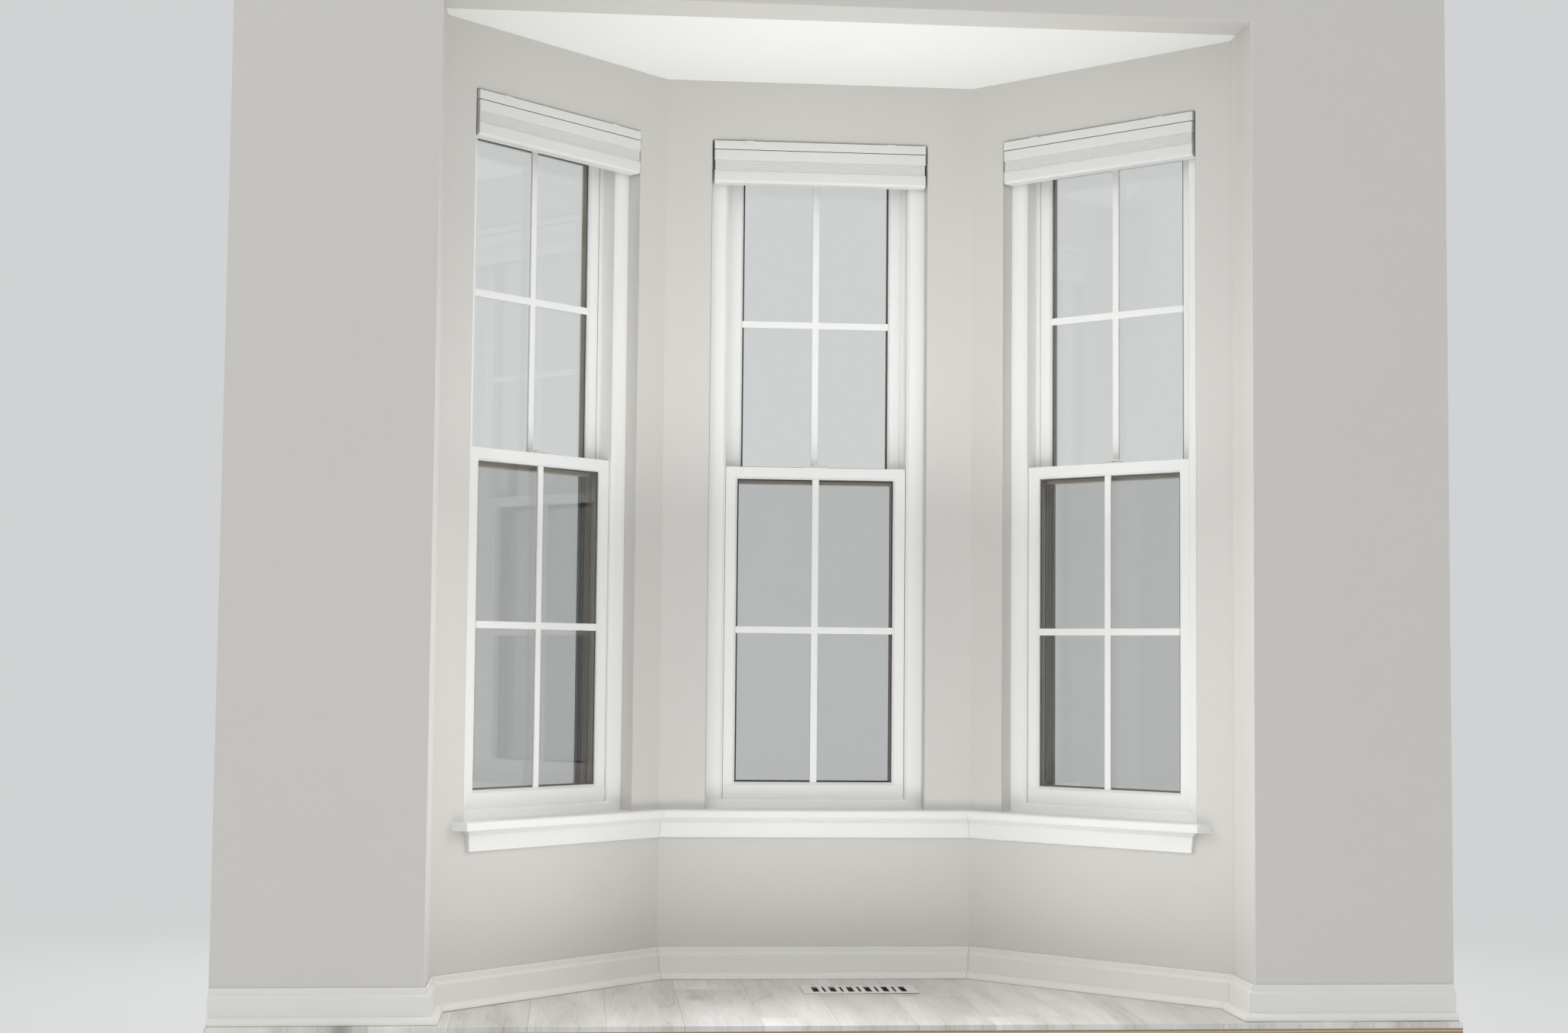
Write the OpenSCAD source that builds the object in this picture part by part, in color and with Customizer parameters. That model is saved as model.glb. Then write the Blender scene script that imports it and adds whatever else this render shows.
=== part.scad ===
// Canted bay window seen from the room: three facets round an alcove,
// one narrow double-hung window in each, and the outside of the bay behind them.
// X runs along the house wall, Y points out of the house, Z is up.
// The origin is on the ground, in the middle of the whole outline.

/* [Bay plan] */
// Clear width of the opening in the house wall
opening_w = 1800; // [1700:10:2100]
// Depth of the straight reveal before the canted walls start
reveal_d = 165; // [140:5:260]
// How far the canted walls carry the bay out beyond the reveal
canted_d = 515; // [480:5:600]
// Inside width of the centre wall
centre_w = 770; // [760:10:900]
// House wall kept on each side beyond the eaves of the bay
wall_beyond = 63; // [20:1:300]

/* [Heights] */
// Finished floor above the ground
floor_h = 450; // [380:10:700]
// Ceiling of the bay above the finished floor
ceiling_h = 2220; // [2190:10:2400]
// Top of the window stool above the finished floor
stool_h = 410; // [380:5:480]
// Head of the window openings above the finished floor
head_h = 2070; // [2000:5:2100]
// Meeting rails of the sashes above the finished floor
meeting_h = 1257; // [1200:5:1320]

/* [Walls and floor] */
// Thickness of the framed wall without its siding
wall_t = 115; // [100:5:150]
// Thickness of the lap siding
siding_t = 12; // [8:1:18]
// Thickness of the foundation walls under the bay
foundation_t = 200; // [150:10:260]
// How far the siding laps down over the foundation
siding_lap = 20; // [10:1:40]
// Depth of the floor joists
joist_h = 190; // [140:10:240]
// Thickness of the joists and rim boards
joist_t = 38; // [30:1:50]
// Distance between the middles of two joists
joist_pitch = 300; // [280:10:320]
// Thickness of the subfloor sheet
subfloor_t = 18; // [15:1:25]
// Thickness of the floor planks
plank_t = 12; // [8:1:16]
// Thickness of the ceiling board
board_t = 13; // [10:1:20]
// Floor kept on the room side of the house wall
floor_lip = 50; // [40:5:120]
// Hairline between two boards that meet
board_gap = 0.5; // [0.3:0.1:1]
// Bead on the plaster's outside corners
corner_bead = 4; // [2:1:8]

/* [Window units] */
// Width of each window opening
win_w = 540; // [500:5:580]
// Depth of the plaster return in front of the window frame
return_d = 38; // [25:1:40]
// Flat front face of the frame members
frame_face = 36; // [30:1:42]
// Sloped inner edge of the frame members
frame_slope = 7; // [4:1:10]
// How far the lower sash stands back from the face of the frame
sash_recess = 13; // [11:1:17]
// How far the fin between the tracks stands in beyond the sloped edge
fin_step = 11; // [9:1:14]
// How far the fin laps over the upper sash
fin_lap = 6; // [4:1:8]
// How far the outer stop stands in beyond the fin
stop_lap = 2; // [1:1:4]
// Thickness of each sash
sash_t = 32; // [28:1:34]
// Visible face of the stiles and the top rails
stile_face = 30; // [26:1:36]
// Face of the bottom rail of the lower sash
bottom_rail = 40; // [32:1:46]
// Height of the meeting rails
meeting_rail = 29; // [24:1:34]
// How far the upper sash's meeting rail hangs below the lower sash's
rail_drop = 10; // [1:1:14]
// Thickness of the sealed glass units
glass_t = 16; // [12:1:20]
// Face width of the snap-in grille bars
bar_w = 17; // [12:1:22]
// Depth of the snap-in grille bars
bar_t = 6; // [4:1:7]
// Face width of the insect screen frame
screen_w = 18; // [14:1:24]
// How far the screen runs up behind the meeting rails
screen_lap = 9; // [4:1:16]
// Length of the sash locks
lock_l = 64; // [50:2:80]
// Height of the sash locks above the meeting rails
lock_h = 9; // [7:1:14]

/* [Blinds] */
// Height of the headrail
headrail_h = 21; // [16:1:40]
// Height of the rail under the headrail
rail_h = 28; // [20:1:34]
// Height of the folded shade and its bottom rail
stack_h = 56; // [40:1:70]
// Bevel along the lower front edge of the bottom rail
shade_bevel = 6; // [0.5:0.5:10]
// Depth of the blind
blind_d = 36; // [28:1:38]
// Gap between a blind and the sides of its opening
blind_gap = 4; // [3:1:12]
// Width of the brackets that hold a headrail
bracket_w = 22; // [14:1:32]

/* [Inside trim] */
// Thickness of the window stool
stool_t = 20; // [16:1:26]
// How far the stool stands in front of the wall
stool_nose = 32; // [24:1:45]
// Radius of the stool's rounded upper edge
stool_round = 7; // [3:1:9]
// Distance from each end of the stool to the reveal corner
stool_end = 55; // [30:1:80]
// How much shorter the stool is at its nose than at the wall, at each end
stool_slant = 18; // [0:1:30]
// Height of the apron under the stool
apron_h = 49; // [40:1:70]
// Thickness of the apron
apron_t = 19; // [14:1:22]
// Distance from each end of the apron to the reveal corner
apron_end = 90; // [70:1:120]
// Height of the baseboard
base_h = 76; // [60:1:110]
// Thickness of the baseboard
base_t = 13; // [10:1:18]
// Size of the quarter-round shoe moulding
shoe_r = 17; // [12:1:20]

/* [Floor register] */
// Length of the register plate along the centre wall
register_l = 270; // [220:5:320]
// Width of the register plate
register_w = 122; // [100:1:150]
// Middle of the register to the right of the middle of the bay
register_x = 85; // [-60:5:120]
// Gap between the register and the shoe moulding
register_gap = 120; // [60:5:160]
// Rim of the register plate that lies on the planks
register_rim = 12; // [8:1:16]
// Length of the register slots
slot_l = 86; // [60:1:95]

/* [Outside trim] */
// Face width of the outside casing boards
casing_w = 64; // [50:1:75]
// Thickness of the casing and corner boards
trim_t = 22; // [18:1:28]
// Face width of each leg of the corner boards
corner_w = 56; // [40:1:60]

/* [Roof] */
// Height of the wall above the ceiling, up to the eaves
eave_rise = 150; // [120:5:220]
// How far the eaves stand out from the siding
overhang = 120; // [80:5:200]
// How far the roof stands out from the fascia
drip = 12; // [6:1:24]
// Slope of the roof in degrees
roof_pitch = 25; // [18:1:32]
// Thickness of the roof deck, measured square to the slope
deck_t = 18; // [15:1:28]
// Height of the fascia boards
fascia_h = 140; // [110:5:180]
// Thickness of the fascia boards
fascia_t = 20; // [16:1:26]
// House wall kept above the top of the bay roof
wall_above = 120; // [60:10:300]

/* [Hidden] */

LEFT = 0;
CENTRE = 1;
RIGHT = 2;

// Plan of the plaster face, from the left end of the house wall to the right end
side_run = (opening_w - centre_w) / 2;
cant = atan2(canted_d, side_run);
canted_l = norm([side_run, canted_d]);
half_w = opening_w / 2;
bay_in = reveal_d + canted_d;
mitre = tan(cant / 2);

// Plan of the bay at a distance out from the plaster face, ended on the line y
function end_of(out, y) = half_w + out * sin(cant)
  + (reveal_d + out * cos(cant) - y) / tan(cant);
function bay_line(out, y) = [[-end_of(out, y), y],
  [-centre_w / 2 - out * mitre, bay_in + out],
  [centre_w / 2 + out * mitre, bay_in + out], [end_of(out, y), y]];
siding_y = wall_t + siding_t;
eave_out = siding_y + overhang;
end_x = end_of(eave_out, siding_y) + wall_beyond;
house_ext = end_x - half_w;
face = [[-end_x, 0], [-half_w, 0], [-half_w, reveal_d], [-centre_w / 2, bay_in],
  [centre_w / 2, bay_in], [half_w, reveal_d], [half_w, 0], [end_x, 0]];

// Plan of the sheathing round the bay
sheath = bay_line(wall_t, wall_t);

// Levels above the ground
frame_top = floor_h - plank_t;
foundation_top = frame_top - subfloor_t - joist_h;
siding_bottom = foundation_top - siding_lap;
ceiling_z = floor_h + ceiling_h;
eave_z = ceiling_z + eave_rise;
sill_z = floor_h + stool_h - stool_t;
head_z = floor_h + head_h;
win_h = head_z - sill_z;

// Roof, from the eaves up to the siding of the house wall
roof_run = bay_in + eave_out - siding_y;
roof_rise = roof_run * tan(roof_pitch);
deck_drop = deck_t / cos(roof_pitch);
deck_z = eave_z + deck_drop;
roof_top = deck_z + roof_rise;
house_top = roof_top + wall_above;
eave_line = bay_line(eave_out, siding_y);
fascia_out = eave_out - drip;
fascia_z = eave_z - fascia_h;
soffit_t = 10;
soffit_z = fascia_z + 2 * soffit_t;

// The whole outline in Y, so that the origin is in the middle of it
y_front = -floor_lip;
y_back = bay_in + eave_out;
y_shift = -(y_front + y_back) / 2;

// Depths in a window opening, from the plaster face outwards
sash_gap = 1;
lower_y = return_d + sash_recess;
fin_t = 3;
fin_y = lower_y + sash_t + sash_gap;
upper_y = fin_y + fin_t + sash_gap;
stop_y = upper_y + sash_t + sash_gap;
stop_t = 8;
frame_out = stop_y + stop_t;

// Margins of the frame's steps, from the edge of the opening inwards
flange_m = frame_face + frame_slope;
fin_m = flange_m + fin_step;
upper_m = fin_m - fin_lap;
stop_m = fin_m + stop_lap;

// Sash outlines in a window opening
lower_x = flange_m + sash_gap;
lower_top = floor_h + meeting_h - sill_z;
upper_x = upper_m + sash_gap;
upper_z = lower_top - meeting_rail - rail_drop;
lower_stile = stile_face + flange_m - lower_x;
upper_stile = stile_face + fin_m - upper_x;
bead = 5;
glass_in = 3;
lip_t = 2;

wall_paint = [0.80, 0.80, 0.78];
trim_white = [0.93, 0.93, 0.91];
vinyl_white = [0.95, 0.95, 0.94];
almond = [0.78, 0.72, 0.62];
siding_tan = [0.74, 0.72, 0.66];
screen_dark = [0.33, 0.33, 0.30];

// Points of a path moved sideways by d, mitred at its corners
function unit(v) = v / norm(v);
function left_of(v) = [-v[1], v[0]];
function path_normal(p, i) = left_of(unit(p[i + 1] - p[i]));
function moved_point(p, d, i) = let (n = len(p) - 1,
    a = path_normal(p, max(i - 1, 0)), b = path_normal(p, min(i, n - 1)))
  p[i] + d * (a + b) / (1 + a * b);
function moved(p, d) = [for (i = [0 : len(p) - 1]) moved_point(p, d, i)];
function reversed(p) = [for (i = [len(p) - 1 : -1 : 0]) p[i]];

// The part of the path from point a to point b
function part_of(p, a, b) = [for (i = [a : b]) p[i]];

// A path cut back by d at its first point, or at its last
function cut_start(p, d) = [for (i = [0 : len(p) - 1])
  i == 0 ? p[0] + d * unit(p[1] - p[0]) : p[i]];
function cut_end(p, d) = reversed(cut_start(reversed(p), d));

// Corner of the plan: which of the face points each wall runs between
function facet_start(k) = face[k + 2];
function facet_turn(k) = [cant, 0, -cant][k];
function facet_l(k) = [canted_l, centre_w, canted_l][k];

// Puts its children in the frame of the whole part
module placed() {
  translate([0, y_shift, 0]) children();
}

// Local frame of a facet: x along it from its left end, y out of the house, z up
module on_facet(k) {
  at = facet_start(k);
  placed() translate([at[0], at[1], 0]) rotate([0, 0, facet_turn(k)]) children();
}

// Local frame of a window opening: x and z from its lower left corner, y out
module in_window(k) {
  on_facet(k) translate([(facet_l(k) - win_w) / 2, 0, sill_z]) children();
}

// Turns a shape drawn flat, with its depth along Z, upright with its depth along Y
module upright() {
  mirror([0, 1, 0]) rotate([90, 0, 0]) children();
}

// A board or wall that follows a path in plan, between two parallel copies of it
module between(p, q, z, h) {
  placed() translate([0, 0, z]) linear_extrude(h) polygon(concat(p, reversed(q)));
}

// Run i of such a board, as a piece of its own with hairline mitres
module board(p, q, i, z, h) {
  gap = board_gap / 2 * unit(p[i + 1] - p[i]);
  near = i == 0 ? 0 * gap : gap;
  far = i == len(p) - 2 ? 0 * gap : gap;
  between([p[i] + near, p[i + 1] - far], [q[i] + near, q[i + 1] - far], z, h);
}

// A profile, x out from the wall and y up, carried into the room along a path.
// Each run is a board of its own, cut to a mitre with a hairline joint.
// The two ends lean outwards by so much for each unit of reach; 1 mitres them for a return.
module moulding(p, z, reach, h, lean = 0) {
  last = len(p) - 2;
  back = 1;
  front = -reach - 1;
  beyond = 3 * reach;
  placed() for (i = [0 : last]) {
    run = p[i + 1] - p[i];
    along = unit(run);
    from = p[i + 1] + beyond * along;
    near = (i == 0 ? 0 : board_gap / 2) * along;
    far = (i == last ? 0 : -board_gap / 2) * along;
    start_lean = (i == 0 ? lean : 0) * along;
    end_lean = (i == last ? -lean : 0) * along;
    intersection() {
      translate([from[0], from[1], z]) rotate([90, 0, atan2(run[1], run[0]) - 90])
        linear_extrude(norm(run) + 2 * beyond) children();
      translate([0, 0, z - 1]) linear_extrude(h + 2) polygon([
        moved_point(p, back, i) + near + back * start_lean,
        moved_point(p, front, i) + near + front * start_lean,
        moved_point(p, front, i + 1) + far + front * end_lean,
        moved_point(p, back, i + 1) + far + back * end_lean]);
    }
  }
}

// The small return that closes such a moulding, x along facet k, side -1 or 1
module moulding_return(k, x, side, z, reach, h) {
  on_facet(k) translate([x, 0, z]) mirror([side > 0 ? 1 : 0, 0, 0]) intersection() {
    rotate([90, 0, 0]) mirror([1, 0, 0]) linear_extrude(reach) children();
    linear_extrude(h) polygon([[-board_gap, 0], [-reach, 0], [-reach, board_gap - reach]]);
  }
}

// Four mitred bars round a rectangle, drawn flat; the profile has x inwards and y deep
module mitred_ring(w, h, reach, deep) {
  outer = [[0, 0], [w, 0], [w, h], [0, h]];
  inner = [[reach, reach], [w - reach, reach], [w - reach, h - reach], [reach, h - reach]];
  for (i = [0 : 3]) {
    j = (i + 1) % 4;
    run = outer[j] - outer[i];
    intersection() {
      translate([outer[i][0], outer[i][1], 0]) rotate([90, 0, atan2(run[1], run[0]) + 90])
        linear_extrude(norm(run)) children();
      linear_extrude(deep) polygon([outer[i], outer[j], inner[j], inner[i]]);
    }
  }
}

// A cut drawn flat that widens at 45 degrees towards its front, from w by h at the depth given;
// with a straight foot it widens on three sides only
module flared_cut(w, h, depth, straight_foot = false) {
  over = 1;
  front = depth + over;
  foot = straight_foot ? 0 : 1;
  intersection() {
    translate([0, h + front, 0]) rotate([90, 0, 0]) linear_extrude(h + 2 * front)
      polygon([[-front, -over], [w + front, -over], [w - over, front], [over, front]]);
    translate([-front, 0, 0]) rotate([90, 0, 90]) linear_extrude(w + 2 * front)
      polygon([[-foot * front, -over], [h + front, -over], [h - over, front], [foot * over, front]]);
  }
}

// Foundation
module main_foundation() {
  color("darkgray") placed() translate([-end_x, -floor_lip, 0])
    cube([2 * end_x, floor_lip + wall_t, foundation_top]);
}
module bay_foundation() {
  color("darkgray") between(bay_line(wall_t, wall_t),
    bay_line(wall_t - foundation_t, wall_t), 0, foundation_top);
}

// Floor
module floor_plan(p) {
  polygon(concat([[-end_x, -floor_lip]], p, [[end_x, -floor_lip]]));
}
floor_edge = concat([[-end_x, wall_t]], sheath, [[end_x, wall_t]]);
module floor_joists() {
  inside = moved(floor_edge, -joist_t - board_gap);
  last = floor((end_x - joist_t / 2) / joist_pitch);
  color("tan") {
    for (i = [0 : len(floor_edge) - 2])
      board(floor_edge, moved(floor_edge, -joist_t), i, foundation_top, joist_h);
    placed() translate([0, 0, foundation_top]) linear_extrude(joist_h)
      for (i = [-last : last]) intersection() {
        floor_plan(inside);
        translate([i * joist_pitch - joist_t / 2, -floor_lip]) square([joist_t, y_back]);
      }
  }
}
module subfloor() {
  color("burlywood") placed() translate([0, 0, frame_top - subfloor_t])
    linear_extrude(subfloor_t) floor_plan(floor_edge);
}
module plank_floor() {
  color("silver") difference() {
    placed() translate([0, 0, frame_top]) linear_extrude(plank_t)
      floor_plan(face);
    register_place() translate([-board_gap, -board_gap, -2 * plank_t])
      cube([box_l + 2 * board_gap, box_w + 2 * board_gap, 4 * plank_t]);
  }
}

// The plate lies on the planks, parallel to the centre wall, with its box let in
plate_t = 3;
box_wall = 4;
box_l = register_l - 2 * register_rim;
box_w = register_w - 2 * register_rim;
module register_place() {
  placed() translate([register_x - box_l / 2,
    bay_in - base_t - shoe_r - register_gap - register_w + register_rim, floor_h]) children();
}
module floor_register() {
  slots = 11;
  pitch = register_l / (slots + 2);
  wide = 0.72 * pitch;
  narrow = 0.3 * pitch;
  color("white") register_place() difference() {
    union() {
      translate([-register_rim, -register_rim, 0]) cube([register_l, register_w, plate_t]);
      translate([0, 0, -plank_t]) cube([box_l, box_w, plank_t]);
    }
    translate([box_wall, box_wall, -2 * plank_t])
      cube([box_l - 2 * box_wall, box_w - 2 * box_wall, 2 * plank_t]);
    for (i = [0 : slots - 1]) {
      w = i % 2 == 0 ? wide : narrow;
      translate([box_l / 2 + (i - (slots - 1) / 2) * pitch - w / 2, (box_w - slot_l) / 2, -1])
        cube([w, slot_l, plate_t + 2]);
    }
  }
}

// House wall, cut off plainly beyond the opening, with a rounded bead at its corner
module beaded_square(w, h) {
  square([w - corner_bead, h]);
  translate([0, corner_bead]) square([w, h - corner_bead]);
  translate([w - corner_bead, corner_bead]) circle(r = corner_bead, $fn = 32);
}
module house_wall_end() {
  color(wall_paint) placed() translate([-end_x, 0, 0]) {
    translate([0, 0, frame_top]) linear_extrude(ceiling_z - frame_top)
      beaded_square(house_ext, wall_t);
    translate([0, 0, ceiling_z]) cube([house_ext, wall_t, house_top - ceiling_z]);
  }
}
module left_house_wall() {
  house_wall_end();
}
module right_house_wall() {
  mirror([1, 0, 0]) house_wall_end();
}
module header_wall() {
  color(wall_paint) placed() translate([-half_w, 0, house_top])
    rotate([0, 90, 0]) linear_extrude(opening_w) beaded_square(house_top - ceiling_z, wall_t);
}

// Bay walls up to the roof, with their window openings; above the stool their edges are beaded
module bay_wall(plan, k) {
  color(wall_paint) difference() {
    placed() intersection() {
      translate([0, 0, frame_top]) linear_extrude(roof_top) polygon(plan);
      under_slopes(eave_z);
    }
    in_window(k) translate([0, -wall_t, 0]) cube([win_w, 3 * wall_t, win_h]);
    in_window(k) translate([0, 0, stool_t]) upright()
      flared_cut(win_w, win_h - stool_t, corner_bead, true);
  }
}
module left_bay_wall() {
  bay_wall([[-half_w, wall_t], face[2], face[3], sheath[1], sheath[0]], LEFT);
}
module centre_bay_wall() {
  bay_wall([face[3], face[4], sheath[2], sheath[1]], CENTRE);
}
module right_bay_wall() {
  bay_wall([face[4], face[5], [half_w, wall_t], sheath[3], sheath[2]], RIGHT);
}
module bay_ceiling() {
  color("white") placed() translate([0, 0, ceiling_z]) linear_extrude(board_t)
    polygon(concat([[-half_w, wall_t]], part_of(face, 2, 5), [[half_w, wall_t]]));
}

// Siding and outside boards
module house_siding() {
  inner = end_of(siding_y, siding_y);
  color(siding_tan) placed() difference() {
    translate([-end_x, wall_t, siding_bottom])
      cube([2 * end_x, siding_t, house_top - siding_bottom]);
    intersection() {
      translate([-inner, 0, 0]) cube([2 * inner, 3 * wall_t, house_top]);
      under_slopes(deck_z);
    }
  }
}
outside_h = soffit_z - siding_bottom;
inside_leg = siding_t * mitre + trim_t;
module bay_siding() {
  color(siding_tan) for (k = [LEFT : RIGHT]) difference() {
    siding_facet(k);
    in_window(k) translate([-casing_w, 0, -casing_w])
      cube([win_w + 2 * casing_w, 3 * wall_t, win_h + 2 * casing_w]);
  }
}
module siding_facet(k) {
  near = k == LEFT ? inside_leg : corner_w;
  far = k == RIGHT ? inside_leg : corner_w;
  p = cut_end(cut_start(part_of(sheath, k, k + 1), near), far);
  between(p, moved(p, siding_t), siding_bottom, outside_h);
}

// A board bent round corner i of the sheathing, with a leg on each side
module bent_board(p, leg) {
  short = cut_end(cut_start(p, norm(p[1] - p[0]) - leg), norm(p[2] - p[1]) - leg);
  between(short, moved(short, trim_t), siding_bottom, outside_h);
}
module corner_boards() {
  color(almond) {
    bent_board(part_of(sheath, 0, 2), corner_w);
    bent_board(part_of(sheath, 1, 3), corner_w);
    inside_corner();
    mirror([1, 0, 0]) inside_corner();
  }
}
module inside_corner() {
  bent_board([sheath[2], sheath[3], [end_x, wall_t]], inside_leg);
}
module window_casings() {
  color(almond) for (k = [LEFT : RIGHT]) in_window(k) difference() {
    union() {
      translate([-casing_w, wall_t, -casing_w])
        cube([win_w + 2 * casing_w, trim_t, win_h + 2 * casing_w]);
      translate([-casing_w, wall_t, -casing_w / 2])
        cube([win_w + 2 * casing_w, 2 * trim_t, casing_w / 2]);
    }
    cube([win_w, 3 * wall_t, win_h]);
  }
}

// Window units
module frame_profile() {
  polygon([[0, return_d], [frame_face, return_d], [flange_m, return_d + frame_slope],
    [flange_m, fin_y], [fin_m, fin_y], [fin_m, fin_y + fin_t], [upper_m, fin_y + fin_t],
    [upper_m, stop_y], [stop_m, stop_y], [stop_m, frame_out], [0, frame_out]]);
}
module window_frame(k) {
  color(vinyl_white) in_window(k) upright()
    mitred_ring(win_w, win_h, stop_m + 1, frame_out + 1) frame_profile();
}
module left_window_frame() {
  window_frame(LEFT);
}
module centre_window_frame() {
  window_frame(CENTRE);
}
module right_window_frame() {
  window_frame(RIGHT);
}

// A sash drawn flat: its size, and the light in it as [x, y, width, height]
module sash(w, h, light) {
  difference() {
    cube([w, h, sash_t]);
    translate([light[0], light[1], -1]) cube([light[2], light[3], sash_t + 2]);
    translate([light[0] - glass_in, light[1] - glass_in, (sash_t - glass_t) / 2])
      cube([light[2] + 2 * glass_in, light[3] + 2 * glass_in, glass_t]);
    translate([light[0], light[1], 0]) flared_cut(light[2], light[3], bead);
  }
}
module glass_unit(light) {
  translate([light[0] - glass_in, light[1] - glass_in, (sash_t - glass_t) / 2])
    cube([light[2] + 2 * glass_in, light[3] + 2 * glass_in, glass_t]);
}
module grille(light) {
  z = (sash_t - glass_t) / 2 - bar_t;
  translate([light[0] + (light[2] - bar_w) / 2, light[1], z]) cube([bar_w, light[3], bar_t]);
  translate([light[0], light[1] + (light[3] - bar_w) / 2, z]) cube([light[2], bar_w, bar_t]);
}
lower_w = win_w - 2 * lower_x;
lower_h = lower_top - flange_m;
lower_light = [lower_stile, bottom_rail,
  lower_w - 2 * lower_stile, lower_h - meeting_rail - bottom_rail];
upper_w = win_w - 2 * upper_x;
upper_h = win_h - upper_m - upper_z;
upper_light = [upper_stile, meeting_rail + rail_drop, upper_w - 2 * upper_stile,
  upper_h - meeting_rail - rail_drop - upper_stile];
module at_lower(k) {
  in_window(k) upright() translate([lower_x, flange_m, lower_y]) children();
}
module at_upper(k) {
  in_window(k) upright() translate([upper_x, upper_z, upper_y]) children();
}
module lower_sash(k) {
  color(vinyl_white) at_lower(k) {
    sash(lower_w, lower_h, lower_light);
    lift_lip();
  }
}

// The bottom rail stands out a little, as a lip to lift the sash by
module lift_lip() {
  lip_gap = 1;
  translate([0, 0, -lip_t]) cube([lower_w, bottom_rail - bead - lip_gap, lip_t + bead]);
}
module upper_sash(k) {
  color(vinyl_white) at_upper(k) sash(upper_w, upper_h, upper_light);
}
module left_lower_sash() {
  lower_sash(LEFT);
}
module centre_lower_sash() {
  lower_sash(CENTRE);
}
module right_lower_sash() {
  lower_sash(RIGHT);
}
module left_upper_sash() {
  upper_sash(LEFT);
}
module centre_upper_sash() {
  upper_sash(CENTRE);
}
module right_upper_sash() {
  upper_sash(RIGHT);
}
module glass(k) {
  color("lightblue", 0.4) {
    at_lower(k) glass_unit(lower_light);
    at_upper(k) glass_unit(upper_light);
  }
}
module left_glass() {
  glass(LEFT);
}
module centre_glass() {
  glass(CENTRE);
}
module right_glass() {
  glass(RIGHT);
}
module grilles(k) {
  color(vinyl_white) {
    at_lower(k) grille(lower_light);
    at_upper(k) grille(upper_light);
  }
}
module left_grilles() {
  grilles(LEFT);
}
module centre_grilles() {
  grilles(CENTRE);
}
module right_grilles() {
  grilles(RIGHT);
}
module insect_screens() {
  w = win_w - 2 * stop_m;
  h = upper_z + screen_lap + screen_w - stop_m;
  color(screen_dark) for (k = [LEFT : RIGHT]) in_window(k) upright()
    translate([stop_m, stop_m, stop_y]) linear_extrude(stop_t) difference() {
      square([w, h]);
      translate([screen_w, screen_w]) square([w - 2 * screen_w, h - 2 * screen_w]);
    }
}
module sash_locks() {
  base_h = 0.45 * lock_h;
  cam_r = lock_h;
  color(vinyl_white) for (k = [LEFT : RIGHT]) in_window(k)
    translate([win_w / 2, lower_y + sash_t / 2, lower_top]) {
      translate([-lock_l / 2, -cam_r, 0]) cube([lock_l, 2 * cam_r, base_h]);
      cylinder(h = lock_h, r = cam_r, $fn = 32);
      translate([0, -cam_r, base_h]) cube([lock_l / 2, cam_r, lock_h - base_h]);
    }
}

// Blinds, raised to the top of their openings; each headrail hangs in two brackets
blind_w = win_w - 2 * blind_gap;
blind_front = -4;
head_gap = 1;
module across_blind(k, x, w) {
  in_window(k) translate([blind_gap + x, 0, win_h]) rotate([90, 0, 90])
    linear_extrude(w) children();
}
module blind_headrails() {
  clip_t = 1.5;
  clip_h = 6;
  inset = blind_w / 6 - bracket_w / 2;
  color(trim_white) for (k = [LEFT : RIGHT]) {
    across_blind(k, 0, blind_w)
      translate([blind_front, -headrail_h - head_gap]) square([blind_d, headrail_h]);
    for (x = [inset, blind_w - inset - bracket_w]) across_blind(k, x, bracket_w)
      translate([blind_front - clip_t, -clip_h]) square([blind_d, clip_h]);
  }
}

// Seen from its end: a groove under the headrail, a flat rail, the folds set back a little,
// and a bottom rail with a bevelled lower edge
module raised_shades() {
  top = -headrail_h - head_gap;
  mid = top - rail_h;
  rail_top = mid - 0.45 * stack_h;
  low = mid - stack_h;
  step = 2;
  set_back = 1.5 * step;
  color(trim_white) for (k = [LEFT : RIGHT]) across_blind(k, 0, blind_w)
    translate([blind_front, 0]) polygon([[step, top], [step, top - step], [0, top - step],
      [0, mid], [set_back, mid], [set_back, mid - 3 * step], [step / 2, rail_top],
      [0, rail_top - step], [0, low + shade_bevel], [shade_bevel, low], [blind_d, low],
      [blind_d, top]]);
}

// Window stool, apron, baseboard and shoe, mitred round the alcove
module window_stool() {
  p = cut_end(cut_start(part_of(face, 2, 5), stool_end), stool_end);
  r = stool_round;
  color(trim_white) {
    moulding(p, sill_z, stool_nose, stool_t, -stool_slant / stool_nose) union() {
      square([stool_nose - r, stool_t]);
      square([stool_nose, stool_t - r]);
      translate([stool_nose - r, stool_t - r]) circle(r = r, $fn = 48);
    }
    for (k = [LEFT : RIGHT]) in_window(k) cube([win_w, return_d, stool_t]);
  }
}
module window_apron() {
  p = cut_end(cut_start(part_of(face, 2, 5), apron_end + apron_t), apron_end + apron_t);
  z = sill_z - apron_h;
  inner = apron_end + apron_t;
  color(trim_white) {
    moulding(p, z, apron_t, apron_h, 1) apron_profile();
    moulding_return(LEFT, inner, -1, z, apron_t, apron_h) apron_profile();
    moulding_return(RIGHT, canted_l - inner, 1, z, apron_t, apron_h) apron_profile();
  }
}

// Thick under the stool, then a cove, a long slope and a rounded foot
module apron_profile() {
  band = 0.16 * apron_h;
  cove = 0.4 * apron_t;
  foot = 0.14 * apron_t;
  low_t = 0.25 * apron_t;
  slope_t = low_t + 0.6 * foot;
  y = apron_h - band;
  difference() {
    polygon([[0, foot], [slope_t, foot], [apron_t - cove, y - cove], [apron_t, y - cove],
      [apron_t, apron_h], [0, apron_h]]);
    translate([apron_t, y - cove]) circle(r = cove, $fn = 32);
  }
  square([low_t, 2 * foot]);
  translate([low_t, foot]) circle(r = foot, $fn = 32);
}
module baseboard() {
  color(trim_white) moulding(face, floor_h, base_t, base_h) base_profile();
}

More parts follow.
